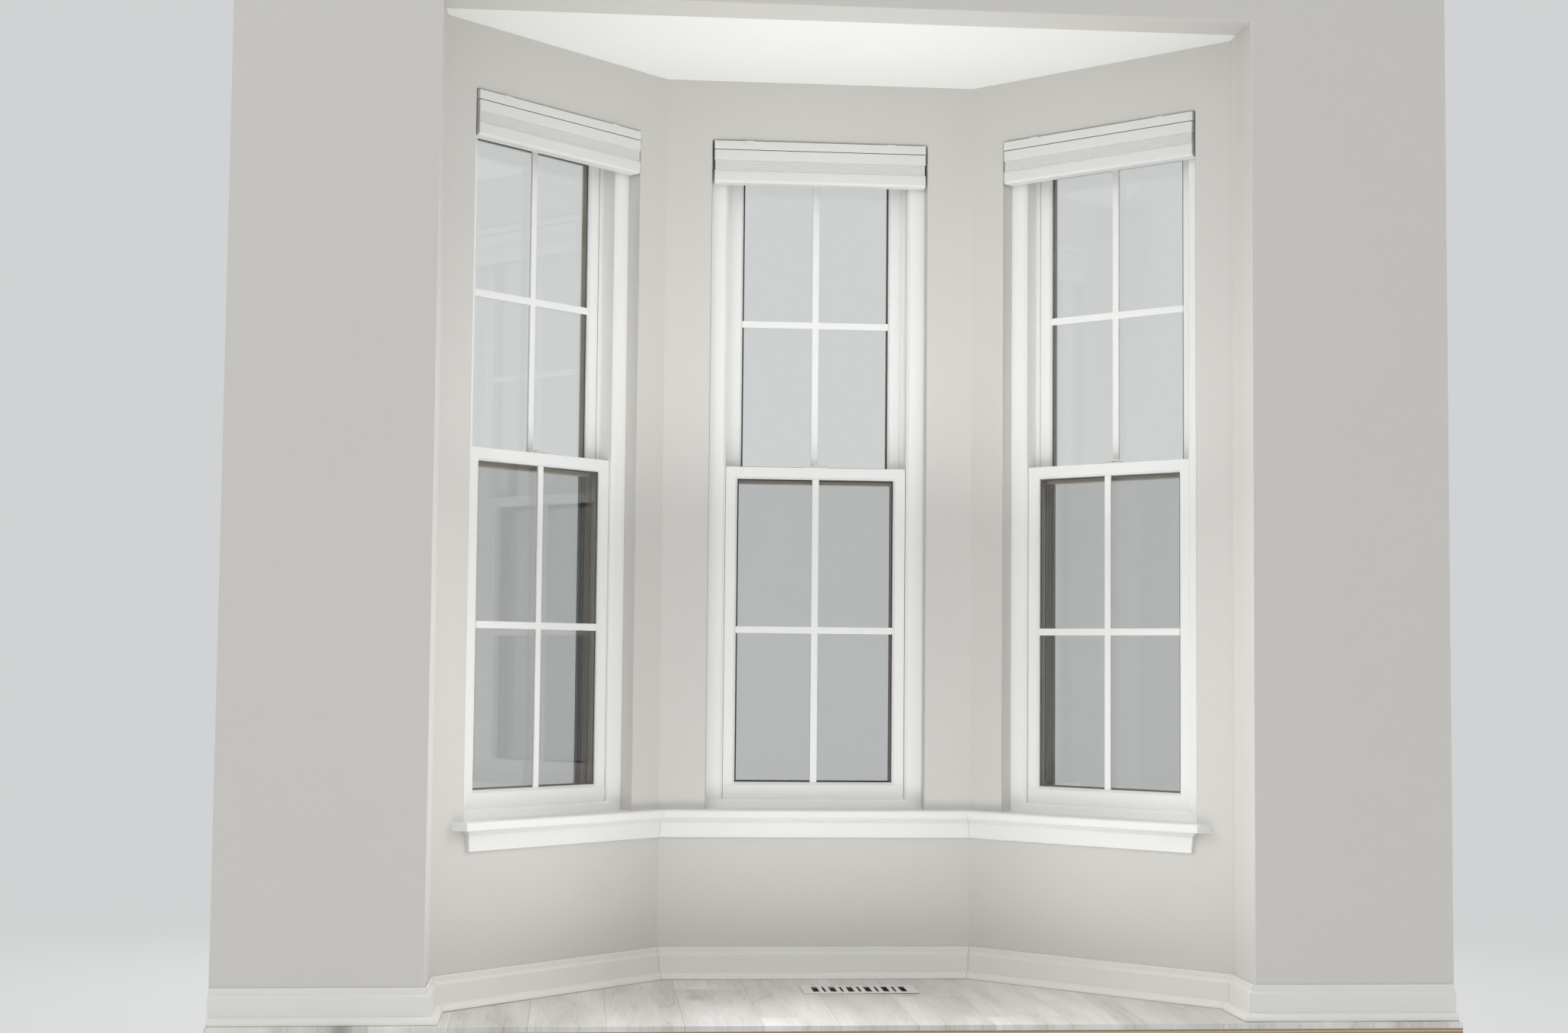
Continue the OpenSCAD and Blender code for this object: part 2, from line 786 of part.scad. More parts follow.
// A plain board with a rounded edge, and a thinner rounded bead over a small cove
module base_profile() {
  top_t = 0.42 * base_t;
  cove = 0.25 * base_t;
  edge = 0.3 * base_t;
  y = base_h - 0.2 * base_h;
  square([base_t - edge, y]);
  square([base_t, y - edge]);
  translate([base_t - edge, y - edge]) circle(r = edge, $fn = 32);
  square([top_t, base_h - top_t / 2]);
  translate([top_t / 2, base_h - top_t / 2]) circle(r = top_t / 2, $fn = 32);
  difference() {
    translate([0, y - 1]) square([top_t + cove, cove + 1]);
    translate([top_t + cove, y + cove]) circle(r = cove, $fn = 32);
  }
}
module shoe_moulding() {
  color(trim_white) moulding(face, floor_h, base_t + shoe_r, shoe_r)
    translate([base_t, 0]) intersection() {
      square(shoe_r);
      circle(r = shoe_r, $fn = 48);
    }
}

// Roof: all that lies under slope k, and under all three
module under_slope(k, z) {
  run = eave_line[k + 1] - eave_line[k];
  far = 2 * end_x;
  from = eave_line[k + 1] + far * unit(run);
  translate([from[0], from[1], 0]) rotate([90, 0, atan2(run[1], run[0]) - 90])
    linear_extrude(norm(run) + 2 * far)
      polygon([[0, 0], [0, z], [far, z + far * tan(roof_pitch)], [far, 0]]);
}
module under_slopes(z) {
  intersection_for (k = [LEFT : RIGHT]) under_slope(k, z);
}

// Plan of what each slope covers, from the eaves up to the hips and the house wall
hips = moved(eave_line, -roof_run);
slope_plans = [[eave_line[0], eave_line[1], hips[1]],
  [eave_line[1], eave_line[2], hips[2], hips[1]],
  [eave_line[2], eave_line[3], hips[2]]];
module roof_deck() {
  color("dimgray") placed() for (k = [LEFT : RIGHT]) intersection() {
    difference() {
      under_slope(k, deck_z);
      under_slope(k, eave_z);
    }
    linear_extrude(house_top) difference() {
      polygon(slope_plans[k]);
      hip_gap();
    }
  }
}

// Hairline along the two hips, drawn flat
module hip_gap() {
  for (i = [1, 2]) {
    along = unit(hips[i] - eave_line[i]);
    side = board_gap / 2 * left_of(along);
    from = eave_line[i] - along;
    to = hips[i] + along;
    polygon([from + side, to + side, to - side, from - side]);
  }
}
module fascia_boards() {
  color(almond) for (k = [LEFT : RIGHT]) intersection() {
    board(bay_line(fascia_out - fascia_t, siding_y), bay_line(fascia_out, siding_y), k,
      fascia_z, 2 * fascia_h);
    placed() under_slope(k, eave_z);
  }
}
module roof_soffit() {
  color(almond) for (k = [LEFT : RIGHT])
    board(bay_line(wall_t, siding_y), bay_line(fascia_out - fascia_t, siding_y), k,
      soffit_z, soffit_t);
}
module wall_flashing() {
  flashing_h = 60;
  flashing_t = 2;
  line = [[eave_line[0][0], deck_z], [hips[1][0], roof_top], [hips[2][0], roof_top],
    [eave_line[3][0], deck_z]];
  up = [for (q = line) q + [0, flashing_h]];
  color("gray") placed() translate([0, siding_y, 0]) upright() linear_extrude(flashing_t)
    polygon(concat(line, reversed(up)));
}

main_foundation();
bay_foundation();
floor_joists();
subfloor();
plank_floor();
floor_register();
left_house_wall();
right_house_wall();
header_wall();
left_bay_wall();
centre_bay_wall();
right_bay_wall();
bay_ceiling();
house_siding();
bay_siding();
corner_boards();
window_casings();
left_window_frame();
centre_window_frame();
right_window_frame();
left_upper_sash();
centre_upper_sash();
right_upper_sash();
left_lower_sash();
centre_lower_sash();
right_lower_sash();
left_glass();
centre_glass();
right_glass();
left_grilles();
centre_grilles();
right_grilles();
insect_screens();
sash_locks();
blind_headrails();
raised_shades();
window_stool();
window_apron();
baseboard();
shoe_moulding();
roof_deck();
fascia_boards();
roof_soffit();
wall_flashing();
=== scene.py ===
"""The looks of a canted bay window, seen from the room.

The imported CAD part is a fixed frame. Its walls, mouldings, window frames and sashes stay, and get
softened edges and a finish here. What is made of many small things is built as pieces of its own:
floor boards, lap siding, shingles, panes, insect screens, blinds, locks and the register's louvre.

Lengths are in millimetres, in the plan that the part's source uses: X along the house wall, Y out
of the house from its plaster face, Z up from the ground. PLAN turns them into metres.
"""
import math
import random

import bmesh
import bpy
from mathutils import Matrix, Vector


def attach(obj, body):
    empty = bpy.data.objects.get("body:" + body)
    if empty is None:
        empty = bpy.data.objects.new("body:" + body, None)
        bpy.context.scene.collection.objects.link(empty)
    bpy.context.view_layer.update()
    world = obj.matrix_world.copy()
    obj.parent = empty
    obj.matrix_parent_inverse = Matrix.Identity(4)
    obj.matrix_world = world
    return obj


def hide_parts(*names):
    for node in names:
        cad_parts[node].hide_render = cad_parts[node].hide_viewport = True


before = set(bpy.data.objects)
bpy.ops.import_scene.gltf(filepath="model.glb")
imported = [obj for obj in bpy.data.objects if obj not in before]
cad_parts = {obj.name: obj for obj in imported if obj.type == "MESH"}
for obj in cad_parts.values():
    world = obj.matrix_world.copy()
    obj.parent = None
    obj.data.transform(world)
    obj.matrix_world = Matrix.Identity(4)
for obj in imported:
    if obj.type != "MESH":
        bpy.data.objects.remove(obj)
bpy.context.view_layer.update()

# -------- sizes, as in the part's source
Y_SHIFT = -438.5
OPENING_W, REVEAL_D, CANTED_D, CENTRE_W = 1800, 165, 515, 770
HALF_W = OPENING_W / 2
BAY_IN = REVEAL_D + CANTED_D
END_X = 1350.31
FLOOR_LIP = 50
WALL_T, SIDING_T, TRIM_T = 115, 12, 22
BOARD_T, SHEATHING_T = 13, 12

FRAME_TOP, FLOOR_Z = 438, 450
EAVE_Z, DECK_Z, ROOF_TOP, HOUSE_TOP = 2820, 2839.86, 3212.93, 3332.93
SIDING_BOTTOM = 210
SOFFIT_Z, SOFFIT_T = 2700, 10
EAVE_OUT, FASCIA_OUT, FASCIA_T = 247, 235, 20
ROOF_PITCH = math.radians(25)
MITRE = math.tan(math.radians(22.5))
DIAGONAL = math.sin(math.radians(45))
ROOF_RUN = BAY_IN + EAVE_OUT - WALL_T - SIDING_T
EAVE_CORNER_X = CENTRE_W / 2 + EAVE_OUT * MITRE
ROOF_FOOT_X = 1287.31
HIP_X = ROOF_FOOT_X - (ROOF_TOP - DECK_Z) / math.tan(ROOF_PITCH) / DIAGONAL

# The windows: a name in _Y is a depth from the plaster face, one in _M a distance from the opening's edge
WIN_W, WIN_H, SILL_Z = 540, 1680, 840
CASING_W, CORNER_W = 64, 56
LOWER_Y, SASH_T, FIN_Y, FIN_M, UPPER_Y, STOP_Y, STOP_M, STOP_T = 51, 32, 84, 54, 88, 121, 56, 8
LOWER_X, LOWER_Z, LOWER_TOP = 44, 43, 867
UPPER_X, UPPER_Z, UPPER_TOP = 49, 828, 1632
MEETING_RAIL = 29
# The glass opening of a sash: its place in the sash, its width and its height
LOWER_LIGHT = (29, 40, 394, 755)
UPPER_LIGHT = (35, 39, 372, 730)
GLASS_T, GLASS_IN, BAR_T = 16, 3, 6
SCREEN_W, SCREEN_H = 18, 799

BLIND_GAP, BLIND_FRONT, BLIND_D, HEADRAIL_H, HEAD_GAP, RAIL_H, STACK_H = 4, -4, 36, 21, 1, 28, 56
REGISTER_X, REGISTER_Y, REGISTER_L, REGISTER_W, REGISTER_RIM = 85, 408, 270, 122, 12

# -------- places
LEFT, CENTRE, RIGHT = FACETS = range(3)
SIDES = ("left", "centre", "right")
TURN = (45, 0, -45)
START = ((-HALF_W, REVEAL_D), (-CENTRE_W / 2, BAY_IN), (CENTRE_W / 2, BAY_IN))
FACET_L = (math.hypot(CANTED_D, CANTED_D), CENTRE_W, math.hypot(CANTED_D, CANTED_D))
PLAN = Matrix.Scale(0.001, 4) @ Matrix.Translation((0, Y_SHIFT, 0))
# Turns a profile drawn as depth and height, with its length along local Z, to run along X
ALONG_X = Matrix(((0, 0, 1, 0), (1, 0, 0, 0), (0, 1, 0, 0), (0, 0, 0, 1)))
# Turns a shape drawn as width and height, with its depth along local Z, upright with depth along Y
UPRIGHT = Matrix(((1, 0, 0, 0), (0, 0, 1, 0), (0, 1, 0, 0), (0, 0, 0, 1)))


def at(x, y, z):
    """A shift by x, y and z."""
    return Matrix.Translation((x, y, z))


def on_facet(k):
    """x along facet k from its left end, y out of the house, z up."""
    return PLAN @ at(*START[k], 0) @ Matrix.Rotation(math.radians(TURN[k]), 4, "Z")


def in_window(k):
    """The same, with x and z from the lower left corner of the window opening."""
    return on_facet(k) @ at((FACET_L[k] - WIN_W) / 2, 0, SILL_Z)


# -------- camera, light and stage
CAMERA_AT = (-0.586, -5.3795, 1.225)
# Degrees turned to the right, up and about the line of sight
CAMERA_TURN = (5.106, 3.749, 0.540)
IMAGE_W, FOCAL_PX, SHIFT_PX = 2048, 2980.1, -7.4


def make_camera():
    """Stands where the photographer stood, which was fitted to the corner lines of the bay."""
    yaw, pitch, roll = (math.radians(a) for a in CAMERA_TURN)
    ahead = Vector((math.sin(yaw) * math.cos(pitch), math.cos(yaw) * math.cos(pitch), math.sin(pitch)))
    level = Vector((math.cos(yaw), -math.sin(yaw), 0))
    above = level.cross(ahead)
    right = math.cos(roll) * level + math.sin(roll) * above
    up = math.cos(roll) * above - math.sin(roll) * level
    data = bpy.data.cameras.new("camera")
    data.sensor_width = 36
    data.lens = data.sensor_width * FOCAL_PX / IMAGE_W
    data.shift_y = SHIFT_PX / IMAGE_W
    camera = bpy.data.objects.new("camera", data)
    camera.matrix_world = Matrix.Translation(CAMERA_AT) @ Matrix((right, up, -ahead)).transposed().to_4x4()
    bpy.context.collection.objects.link(camera)
    bpy.context.scene.camera = camera


def add_light(name, place, target, size, power, spread=180, glossy=True):
    """A soft rectangle of light, size in metres, power in watts, spread in degrees, not seen itself."""
    data = bpy.data.lights.new(name, "AREA")
    data.shape = "RECTANGLE"
    data.size, data.size_y = size
    data.energy = power
    data.spread = math.radians(spread)
    light = bpy.data.objects.new(name, data)
    light.visible_camera = light.visible_transmission = False
    light.visible_glossy = glossy
    light.location = place
    light.rotation_euler = (Vector(target) - Vector(place)).to_track_quat("-Z", "Y").to_euler()
    bpy.context.collection.objects.link(light)


def window_light(k, power):
    """Stands in for the daylight of a window. All of it is on the room side, so the frame isn't lit."""
    start, aim = (in_window(k) @ Vector((WIN_W / 2, y, z)) for y, z in ((-260, 860), (-1040, 560)))
    add_light("daylight_" + SIDES[k], start, aim, (0.44, 1.3), power, spread=105, glossy=False)


def light_the_part():
    """Soft lamps beside an even surround: at this level a colour renders about as it is written."""
    add_light("key", (-3.2, -4.6, 3.6), (0, 0, 1.4), (3.5, 2.5), 20)
    add_light("outside", (0.3, 4.6, 2.6), (0, 0, 1.5), (5.0, 2.4), 60, glossy=False)
    add_light("to_the_ceiling", (0, -0.35, 1.45), (0, -0.15, 2.67), (1.15, 0.4), 3.6, 130, glossy=False)
    add_light("from_the_floor", (0, -0.42, 0.5), (0, -0.36, 2.67), (0.8, 0.5), 3.6, 168, glossy=False)
    for side, power in zip(FACETS, (7.5, 1.6, 9)):
        window_light(side, power)


def srgb(*levels):
    """A colour given as 8-bit sRGB levels, in the linear values that shaders take."""
    return tuple(v / 255 / 12.92 if v <= 10.31 else ((v / 255 + 0.055) / 1.055) ** 2.4 for v in levels)


BACKDROP = srgb(208, 210, 211)
AMBIENT = 0.87


def make_world():
    """An even pale surround that lights the part; seen straight or in gloss it is the backdrop."""
    world = bpy.data.worlds.new("studio")
    bpy.context.scene.world = world
    world.use_nodes = True
    tree = world.node_tree
    tree.nodes.clear()
    seen = seen_directly(tree)
    mix = tree.nodes.new("ShaderNodeMixShader")
    for index, (colour, strength) in enumerate((((1, 1, 1), AMBIENT), (BACKDROP, 1))):
        background = tree.nodes.new("ShaderNodeBackground")
        background.inputs["Color"].default_value = (*colour, 1)
        background.inputs["Strength"].default_value = strength
        tree.links.new(background.outputs[0], mix.inputs[1 + index])
    tree.links.new(seen, mix.inputs[0])
    tree.links.new(mix.outputs[0], tree.nodes.new("ShaderNodeOutputWorld").inputs[0])


def seen_directly(tree):
    """1 for the camera's rays and for those that gloss or glass pass on, 0 for what lights the part."""
    rays = tree.nodes.new("ShaderNodeLightPath").outputs
    seen = rays["Is Camera Ray"]
    for name in ("Is Glossy Ray", "Is Transmission Ray"):
        add = tree.nodes.new("ShaderNodeMath")
        add.use_clamp = True
        tree.links.new(seen, add.inputs[0])
        tree.links.new(rays[name], add.inputs[1])
        seen = add.outputs[0]
    return seen


# -------- finishes
class Finish:
    """One procedural material, made by short calls. Patterns use the piece's own metres."""

    def __init__(self, name, colour, roughness, **sockets):
        self.material = bpy.data.materials.new(name)
        self.material.use_nodes = True
        self.tree = self.material.node_tree
        self.shader = self.tree.nodes["Principled BSDF"]
        self.set(self.shader, "Base Color", colour)
        self.set(self.shader, "Roughness", roughness)
        for socket, value in sockets.items():
            self.set(self.shader, socket.replace("_", " "), value)
        self.here = self.node("TexCoord").outputs["Object"]
        self.height = None

    def node(self, kind, inputs=(), **settings):
        """A new node, with its settings, and inputs as a table of sockets and values."""
        made = self.tree.nodes.new("ShaderNode" + kind)
        for name, value in settings.items():
            setattr(made, name, value)
        for socket, value in dict(inputs).items():
            self.set(made, socket, value)
        return made

    def set(self, node, socket, value):
        """Puts a number, a colour or another node's output into a socket."""
        place = node.inputs[socket]
        if isinstance(value, bpy.types.NodeSocket):
            self.tree.links.new(value, place)
        elif isinstance(value, tuple) and len(value) == 3 and place.type == "RGBA":
            place.default_value = (*value, 1)
        else:
            place.default_value = value

    def math(self, operation, a, b=0.0):
        """a and b put together by one arithmetic operation."""
        return self.node("Math", {0: a, 1: b}, operation=operation).outputs[0]

    def stretched(self, x, y, z, shift=None):
        """The place, moved by shift and then scaled along each axis."""
        place = self.here
        if shift is not None:
            place = self.node("VectorMath", {0: place, 1: shift}, operation="ADD").outputs[0]
        return self.node("VectorMath", {0: place, 1: (x, y, z)}, operation="MULTIPLY").outputs[0]

    def noise(self, scale, detail=2.0, shift=None, roughness=0.5, distortion=0.0):
        """Cloudy noise from 0 to 1, with so many cells a metre, or so many along each axis."""
        place = self.here
        if isinstance(scale, tuple):
            place, scale = self.stretched(*scale, shift), 1
        return self.node("TexNoise", {
            "Vector": place, "Scale": scale, "Detail": detail,
            "Roughness": roughness, "Distortion": distortion}).outputs[0]

    def spread(self, value, low, high, to_low=0.0, to_high=1.0):
        """Stretches value from low..high to to_low..to_high and stops it there."""
        return self.node("MapRange", enumerate((value, low, high, to_low, to_high))).outputs[0]

    def mix(self, amount, a, b):
        """Colour a where amount is 0, and b where it is 1."""
        return self.node("Mix", {0: amount, 6: a, 7: b}, data_type="RGBA", blend_type="MIX").outputs[2]

    def tinted(self, colour, amount, strength):
        """colour, darkened and lightened by amount (0 to 1) times strength."""
        level = self.spread(amount, 0.25, 0.75, 1 - strength, 1 + strength)
        return self.node("VectorMath", {0: colour, "Scale": level}, operation="SCALE").outputs[0]

    def xyz(self, index):
        """One coordinate of the place, in metres."""
        return self.node("SeparateXYZ", {0: self.here}).outputs[index]

    def across(self, k):
        """Distance out of the house from facet k's plaster face, in millimetres."""
        turn = math.radians(TURN[k])
        normal = (-math.sin(turn), math.cos(turn), 0)
        start = PLAN @ Vector((*START[k], 0))
        dot = self.node("VectorMath", {0: self.here, 1: normal}, operation="DOT_PRODUCT").outputs["Value"]
        return self.math("MULTIPLY", self.math("SUBTRACT", dot, start.dot(Vector(normal))), 1000)

    def step(self, value, edge, width=0.5):
        """0 below edge and 1 above it."""
        return self.spread(value, edge - width / 2, edge + width / 2)

    def lot(self):
        """The number from 0 to 1 that each solid of the mesh has for itself."""
        return self.node("Attribute", attribute_name="lot").outputs["Fac"]

    def choose(self, amount, other):
        """Shows another shader in place of the finish where amount is 1."""
        both = self.node("MixShader", {0: amount, 1: self.shader.outputs[0], 2: other.outputs[0]})
        self.set(self.tree.nodes["Material Output"], "Surface", both.outputs[0])

    def colour(self, value):
        """Sets the colour of the surface."""
        self.set(self.shader, "Base Color", value)

    def rough(self, value, low, high):
        """Sets how dull the surface is: from low to high as value goes from 0.3 to 0.7."""
        self.set(self.shader, "Roughness", self.spread(value, 0.3, 0.7, low, high))

    def bump(self, height, depth):
        """Adds relief of that depth in metres."""
        inputs = {"Distance": depth, "Height": height}
        if self.height is not None:
            inputs["Normal"] = self.height
        self.height = self.node("Bump", inputs).outputs[0]
        self.set(self.shader, "Normal", self.height)


WALL = srgb(209, 207, 203)
CEILING = srgb(240, 240, 238)
TRIM = srgb(236, 236, 234)
# The baseboard and shoe get the white trim paint made darker: painted shade low on the wall
SHADED_BASE_TRIM = srgb(227, 226, 222)
VINYL = srgb(238, 238, 236)
OUTSIDE_VINYL = srgb(186, 174, 152)
SIDING = srgb(184, 180, 168)
BLIND = srgb(224, 224, 221)


def wall_paint():
    """Matte paint put on with a roller; the sawn ends and the top show the layers of the wall."""
    f = Finish("wall_paint", WALL, 0.6)
    painted = f.tinted(WALL, f.noise(1.1, 3), 0.012)
    depth = f.math("SUBTRACT", f.math("MULTIPLY", f.xyz(1), 1000), Y_SHIFT)
    wood = f.tinted(srgb(206, 172, 128), f.noise((30, 120, 6), 4), 0.2)
    sheet = f.tinted(srgb(176, 146, 104), f.noise(60, 3), 0.25)
    gypsum = f.tinted(srgb(226, 225, 220), f.noise(300, 3), 0.06)
    cut = f.mix(f.step(depth, BOARD_T), gypsum, wood)
    cut = f.mix(f.step(depth, WALL_T - SHEATHING_T), cut, sheet)
    sawn = f.math("MAXIMUM", f.step(f.math("ABSOLUTE", f.xyz(0)), END_X / 1000 - 0.0008, 0.0004),
                  f.step(f.xyz(2), HOUSE_TOP / 1000 - 0.0008, 0.0004))
    f.colour(f.mix(sawn, painted, cut))
    f.rough(f.noise(14, 3), 0.52, 0.66)
    f.bump(f.noise(330, 3, roughness=0.6), 0.00022)
    f.bump(f.noise(7, 2), 0.0006)
    return f


def ceiling_paint():
    """Flat white paint, with the fine relief of a roller."""
    f = Finish("ceiling_paint", CEILING, 0.75)
    f.colour(f.tinted(CEILING, f.noise(1.7, 3), 0.008))
    f.rough(f.noise(20, 2), 0.68, 0.8)
    f.bump(f.noise(260, 3, roughness=0.65), 0.0003)
    return f


def trim_paint(name, colour, roughness, worn=0.012):
    """Semi-gloss paint, not quite even in colour, gloss and level."""
    f = Finish(name, colour, roughness)
    f.colour(f.tinted(colour, f.noise(5, 4), worn))
    f.rough(f.noise(40, 3), roughness, roughness + 0.08)
    f.bump(f.noise(9, 2), 0.0002)
    return f


def with_painted_gap_shadow(f, height, colour):
    """Darkens the lowest strip of a finish: a painted shadow where a piece doesn't quite touch the floor."""
    painted = f.shader.inputs["Base Color"].links[0].from_socket
    gap_shadow_patches = f.spread(f.noise(3, 2), 0.4, 0.6, 0.35, 1)
    low = f.math("SUBTRACT", 1, f.step(f.xyz(2), (FLOOR_Z + height) / 1000, 0.0003))
    f.colour(f.mix(f.math("MULTIPLY", low, gap_shadow_patches), painted, colour))
    return f


def window_vinyl(k, part):
    """Extruded vinyl: white to the room and a darker colour outside the panes."""
    f = Finish(f"window_vinyl_{part}_{SIDES[k]}", VINYL, 0.32)
    depth = f.across(k)
    middle = {"lower": LOWER_Y + SASH_T / 2, "upper": UPPER_Y + SASH_T / 2, "frame": STOP_Y - 1}[part]
    outside = f.step(depth, middle)
    if part != "lower":
        # Below the lower sash's meeting rail all that lies behind that sash is outside
        rail = (SILL_Z + LOWER_TOP - MEETING_RAIL) / 1000
        low = f.math("SUBTRACT", 1, f.step(f.xyz(2), rail, 0.0005))
        behind = f.step(depth, LOWER_Y + SASH_T)
        outside = f.math("MAXIMUM", outside, f.math("MULTIPLY", behind, low))
    white = f.tinted(VINYL, f.noise(6, 3), 0.01)
    dark = f.tinted(OUTSIDE_VINYL, f.noise(9, 4), 0.05)
    f.colour(f.mix(outside, white, dark))
    f.rough(f.noise(25, 3), 0.3, 0.4)
    f.bump(f.noise((300, 300, 6), 2), 0.00004)
    return f


def plain_finish(name, colour, roughness, shade=0.03, grain=120, depth=0.0001, **sockets):
    """A small part's finish: its colour varies a little, and its surface isn't quite smooth."""
    f = Finish(name, colour, roughness, **sockets)
    f.colour(f.tinted(colour, f.noise(grain / 6, 3), shade))
    f.rough(f.noise(grain / 3, 3), max(0.03, roughness - 0.07), roughness + 0.07)
    f.bump(f.noise(grain * 3, 2), depth)
    return f


def floor_boards_finish():
    """Pale grey boards with a long grain along Y, arched figure, knots and a satin wear layer."""
    f = Finish("floor_planks", srgb(206, 203, 198), 0.35)
    board = f.lot()
    # Each board shows another part of the pattern
    steps = {axis: f.math("MULTIPLY", board, step) for axis, step in enumerate((17.3, 5.1, 9.7))}
    offset = f.node("CombineXYZ", steps).outputs[0]
    tone = f.noise((9, 1.1, 1), 3, offset, roughness=0.6, distortion=0.4)
    figure = f.noise((5, 0.55, 1), 2, offset, distortion=0.3)
    rings = f.math("FRACT", f.math("MULTIPLY", figure, 16))
    arches = f.math("MULTIPLY", f.spread(rings, 0.0, 0.16, 1, 0), f.spread(tone, 0.42, 0.66))
    fibres = f.noise((260, 7, 1), 4, offset, roughness=0.7)
    knot = f.node("TexVoronoi", {"Vector": f.stretched(4.2, 1.7, 1, shift=offset), "Scale": 1.0})
    heart = f.spread(knot.outputs["Distance"], 0.03, 0.13, 1, 0)
    light, middle, dark = srgb(228, 226, 223), srgb(200, 197, 192), srgb(157, 152, 146)
    colour = f.mix(f.spread(tone, 0.34, 0.66), light, middle)
    colour = f.mix(f.math("MULTIPLY", arches, 0.45), colour, dark)
    colour = f.mix(f.math("MULTIPLY", f.spread(fibres, 0.5, 0.72), 0.26), colour, dark)
    colour = f.mix(f.math("MULTIPLY", heart, 0.75), colour, srgb(122, 115, 108))
    f.colour(f.tinted(colour, f.spread(board, 0, 1, 0.25, 0.75), 0.11))
    f.rough(fibres, 0.3, 0.46)
    f.bump(fibres, 0.00012)
    return f


def sawn_timber():
    """Joists of softwood: long grain along Y, and rings on the sawn front ends."""
    f = Finish("framing_timber", srgb(214, 184, 142), 0.7)
    grain = f.noise((60, 2.2, 60), 4, roughness=0.6, distortion=0.3)
    long_grain = f.mix(f.spread(grain, 0.35, 0.7), srgb(212, 194, 162), srgb(178, 150, 116))
    ring = f.node("TexWave", {
        "Vector": f.stretched(1, 1, 1, shift=(0.02, 0, -0.12)), "Scale": 46.0, "Distortion": 3.0,
        "Detail": 3.0, "Detail Scale": 2.0}, wave_type="RINGS", rings_direction="Y")
    end_grain = f.mix(f.spread(ring.outputs["Fac"], 0.2, 0.9), srgb(200, 178, 142), srgb(160, 132, 100))
    front = (Y_SHIFT - FLOOR_LIP) / 1000
    f.colour(f.mix(f.step(f.xyz(1), front + 0.0008, 0.0004), end_grain, long_grain))
    f.rough(grain, 0.62, 0.8)
    f.bump(grain, 0.0006)
    return f


def plywood():
    """A face of rotary-cut veneer, and plies in alternating tones along the edges."""
    f = Finish("subfloor_plywood", srgb(206, 174, 130), 0.65)
    veneer = f.noise((26, 3, 1), 4, distortion=0.8)
    face = f.mix(f.spread(veneer, 0.35, 0.7), srgb(204, 186, 154), srgb(174, 150, 116))
    two_plies = 7.2
    ply = f.math("SUBTRACT", f.xyz(2), FRAME_TOP / 1000)
    ply = f.math("FRACT", f.math("MULTIPLY", ply, 1000 / two_plies))
    edge = f.mix(f.step(ply, 0.5, 0.1), srgb(190, 174, 146), srgb(150, 130, 104))
    normal = f.node("SeparateXYZ", {0: f.node("NewGeometry").outputs["Normal"]})
    f.colour(f.mix(f.step(f.math("ABSOLUTE", normal.outputs[2]), 0.5), edge, face))
    f.bump(veneer, 0.0004)
    return f


def concrete():
    """A cast foundation wall: mottled grey, with air holes."""
    f = Finish("foundation_concrete", srgb(168, 166, 161), 0.88)
    mottle = f.noise(3.5, 6, roughness=0.65)
    colour = f.mix(f.spread(mottle, 0.3, 0.72), srgb(152, 150, 145), srgb(186, 184, 179))
    damp = f.spread(f.math("ADD", f.xyz(2), f.math("MULTIPLY", mottle, 0.12)), 0.04, 0.14, 0.55, 0)
    colour = f.mix(damp, colour, srgb(126, 122, 115))
    holes = f.node("TexVoronoi", {"Scale": 55.0})
    pits_and_pit_shade = f.spread(holes.outputs["Distance"], 0.05, 0.2, 1, 0)
    # The air holes are darkened as painted shade in them; the same mask sinks them in relief
    f.colour(f.mix(f.math("MULTIPLY", pits_and_pit_shade, 0.5), colour, srgb(96, 93, 88)))
    f.rough(mottle, 0.8, 0.95)
    f.bump(f.math("SUBTRACT", f.noise(90, 4), pits_and_pit_shade), 0.0012)
    return f


def siding_paint():
    """Painted lap boards with an embossed grain along the courses, each board a tone of its own."""
    f = Finish("lap_siding", SIDING, 0.5)
    grain = f.noise((9, 9, 330), 4, roughness=0.65, distortion=0.25)
    shade = f.math("ADD", f.math("MULTIPLY", grain, 0.4), f.math("MULTIPLY", f.lot(), 0.6))
    f.colour(f.tinted(SIDING, shade, 0.05))
    f.rough(grain, 0.42, 0.6)
    f.bump(grain, 0.0007)
    return f


def shingle_granules():
    """Mineral granules on asphalt: speckled, and each tab a tone of its own."""
    f = Finish("shingles", srgb(92, 90, 88), 0.9)
    cells = f.node("TexVoronoi", {"Scale": 480.0})
    speck = f.node("SeparateColor", {0: cells.outputs["Color"]})
    colour = f.mix(speck.outputs[0], srgb(58, 57, 57), srgb(138, 134, 128))
    colour = f.mix(f.math("MULTIPLY", f.step(speck.outputs[1], 0.93, 0.02), 0.7), colour, srgb(178, 172, 162))
    f.colour(f.tinted(colour, f.spread(f.lot(), 0, 1, 0.25, 0.75), 0.16))
    f.bump(cells.outputs["Distance"], 0.0009)
    return f


def clear_glass():
    """A clear pane. Lamps shine through it, so that what is behind stays lit."""
    f = Finish("window_glass", srgb(253, 254, 253), 0.0, Transmission_Weight=1.0, IOR=1.45)
    clear = f.node("BsdfTransparent", {"Color": srgb(253, 254, 253)})
    f.choose(f.node("LightPath").outputs["Is Shadow Ray"], clear)
    f.tree.nodes.remove(f.here.node)
    return f


def pleated_cloth():
    """Woven cloth of a cellular shade: fine threads both ways, matte."""
    f = Finish("blind_cloth", srgb(222, 221, 218), 0.85, Sheen_Weight=0.15)
    warp = f.noise((1800, 1800, 60), 2)
    weft = f.noise((50, 50, 2600), 2)
    weave = f.math("MULTIPLY", warp, weft)
    f.colour(f.tinted(srgb(222, 221, 218), weave, 0.06))
    f.bump(weave, 0.0002)
    return f


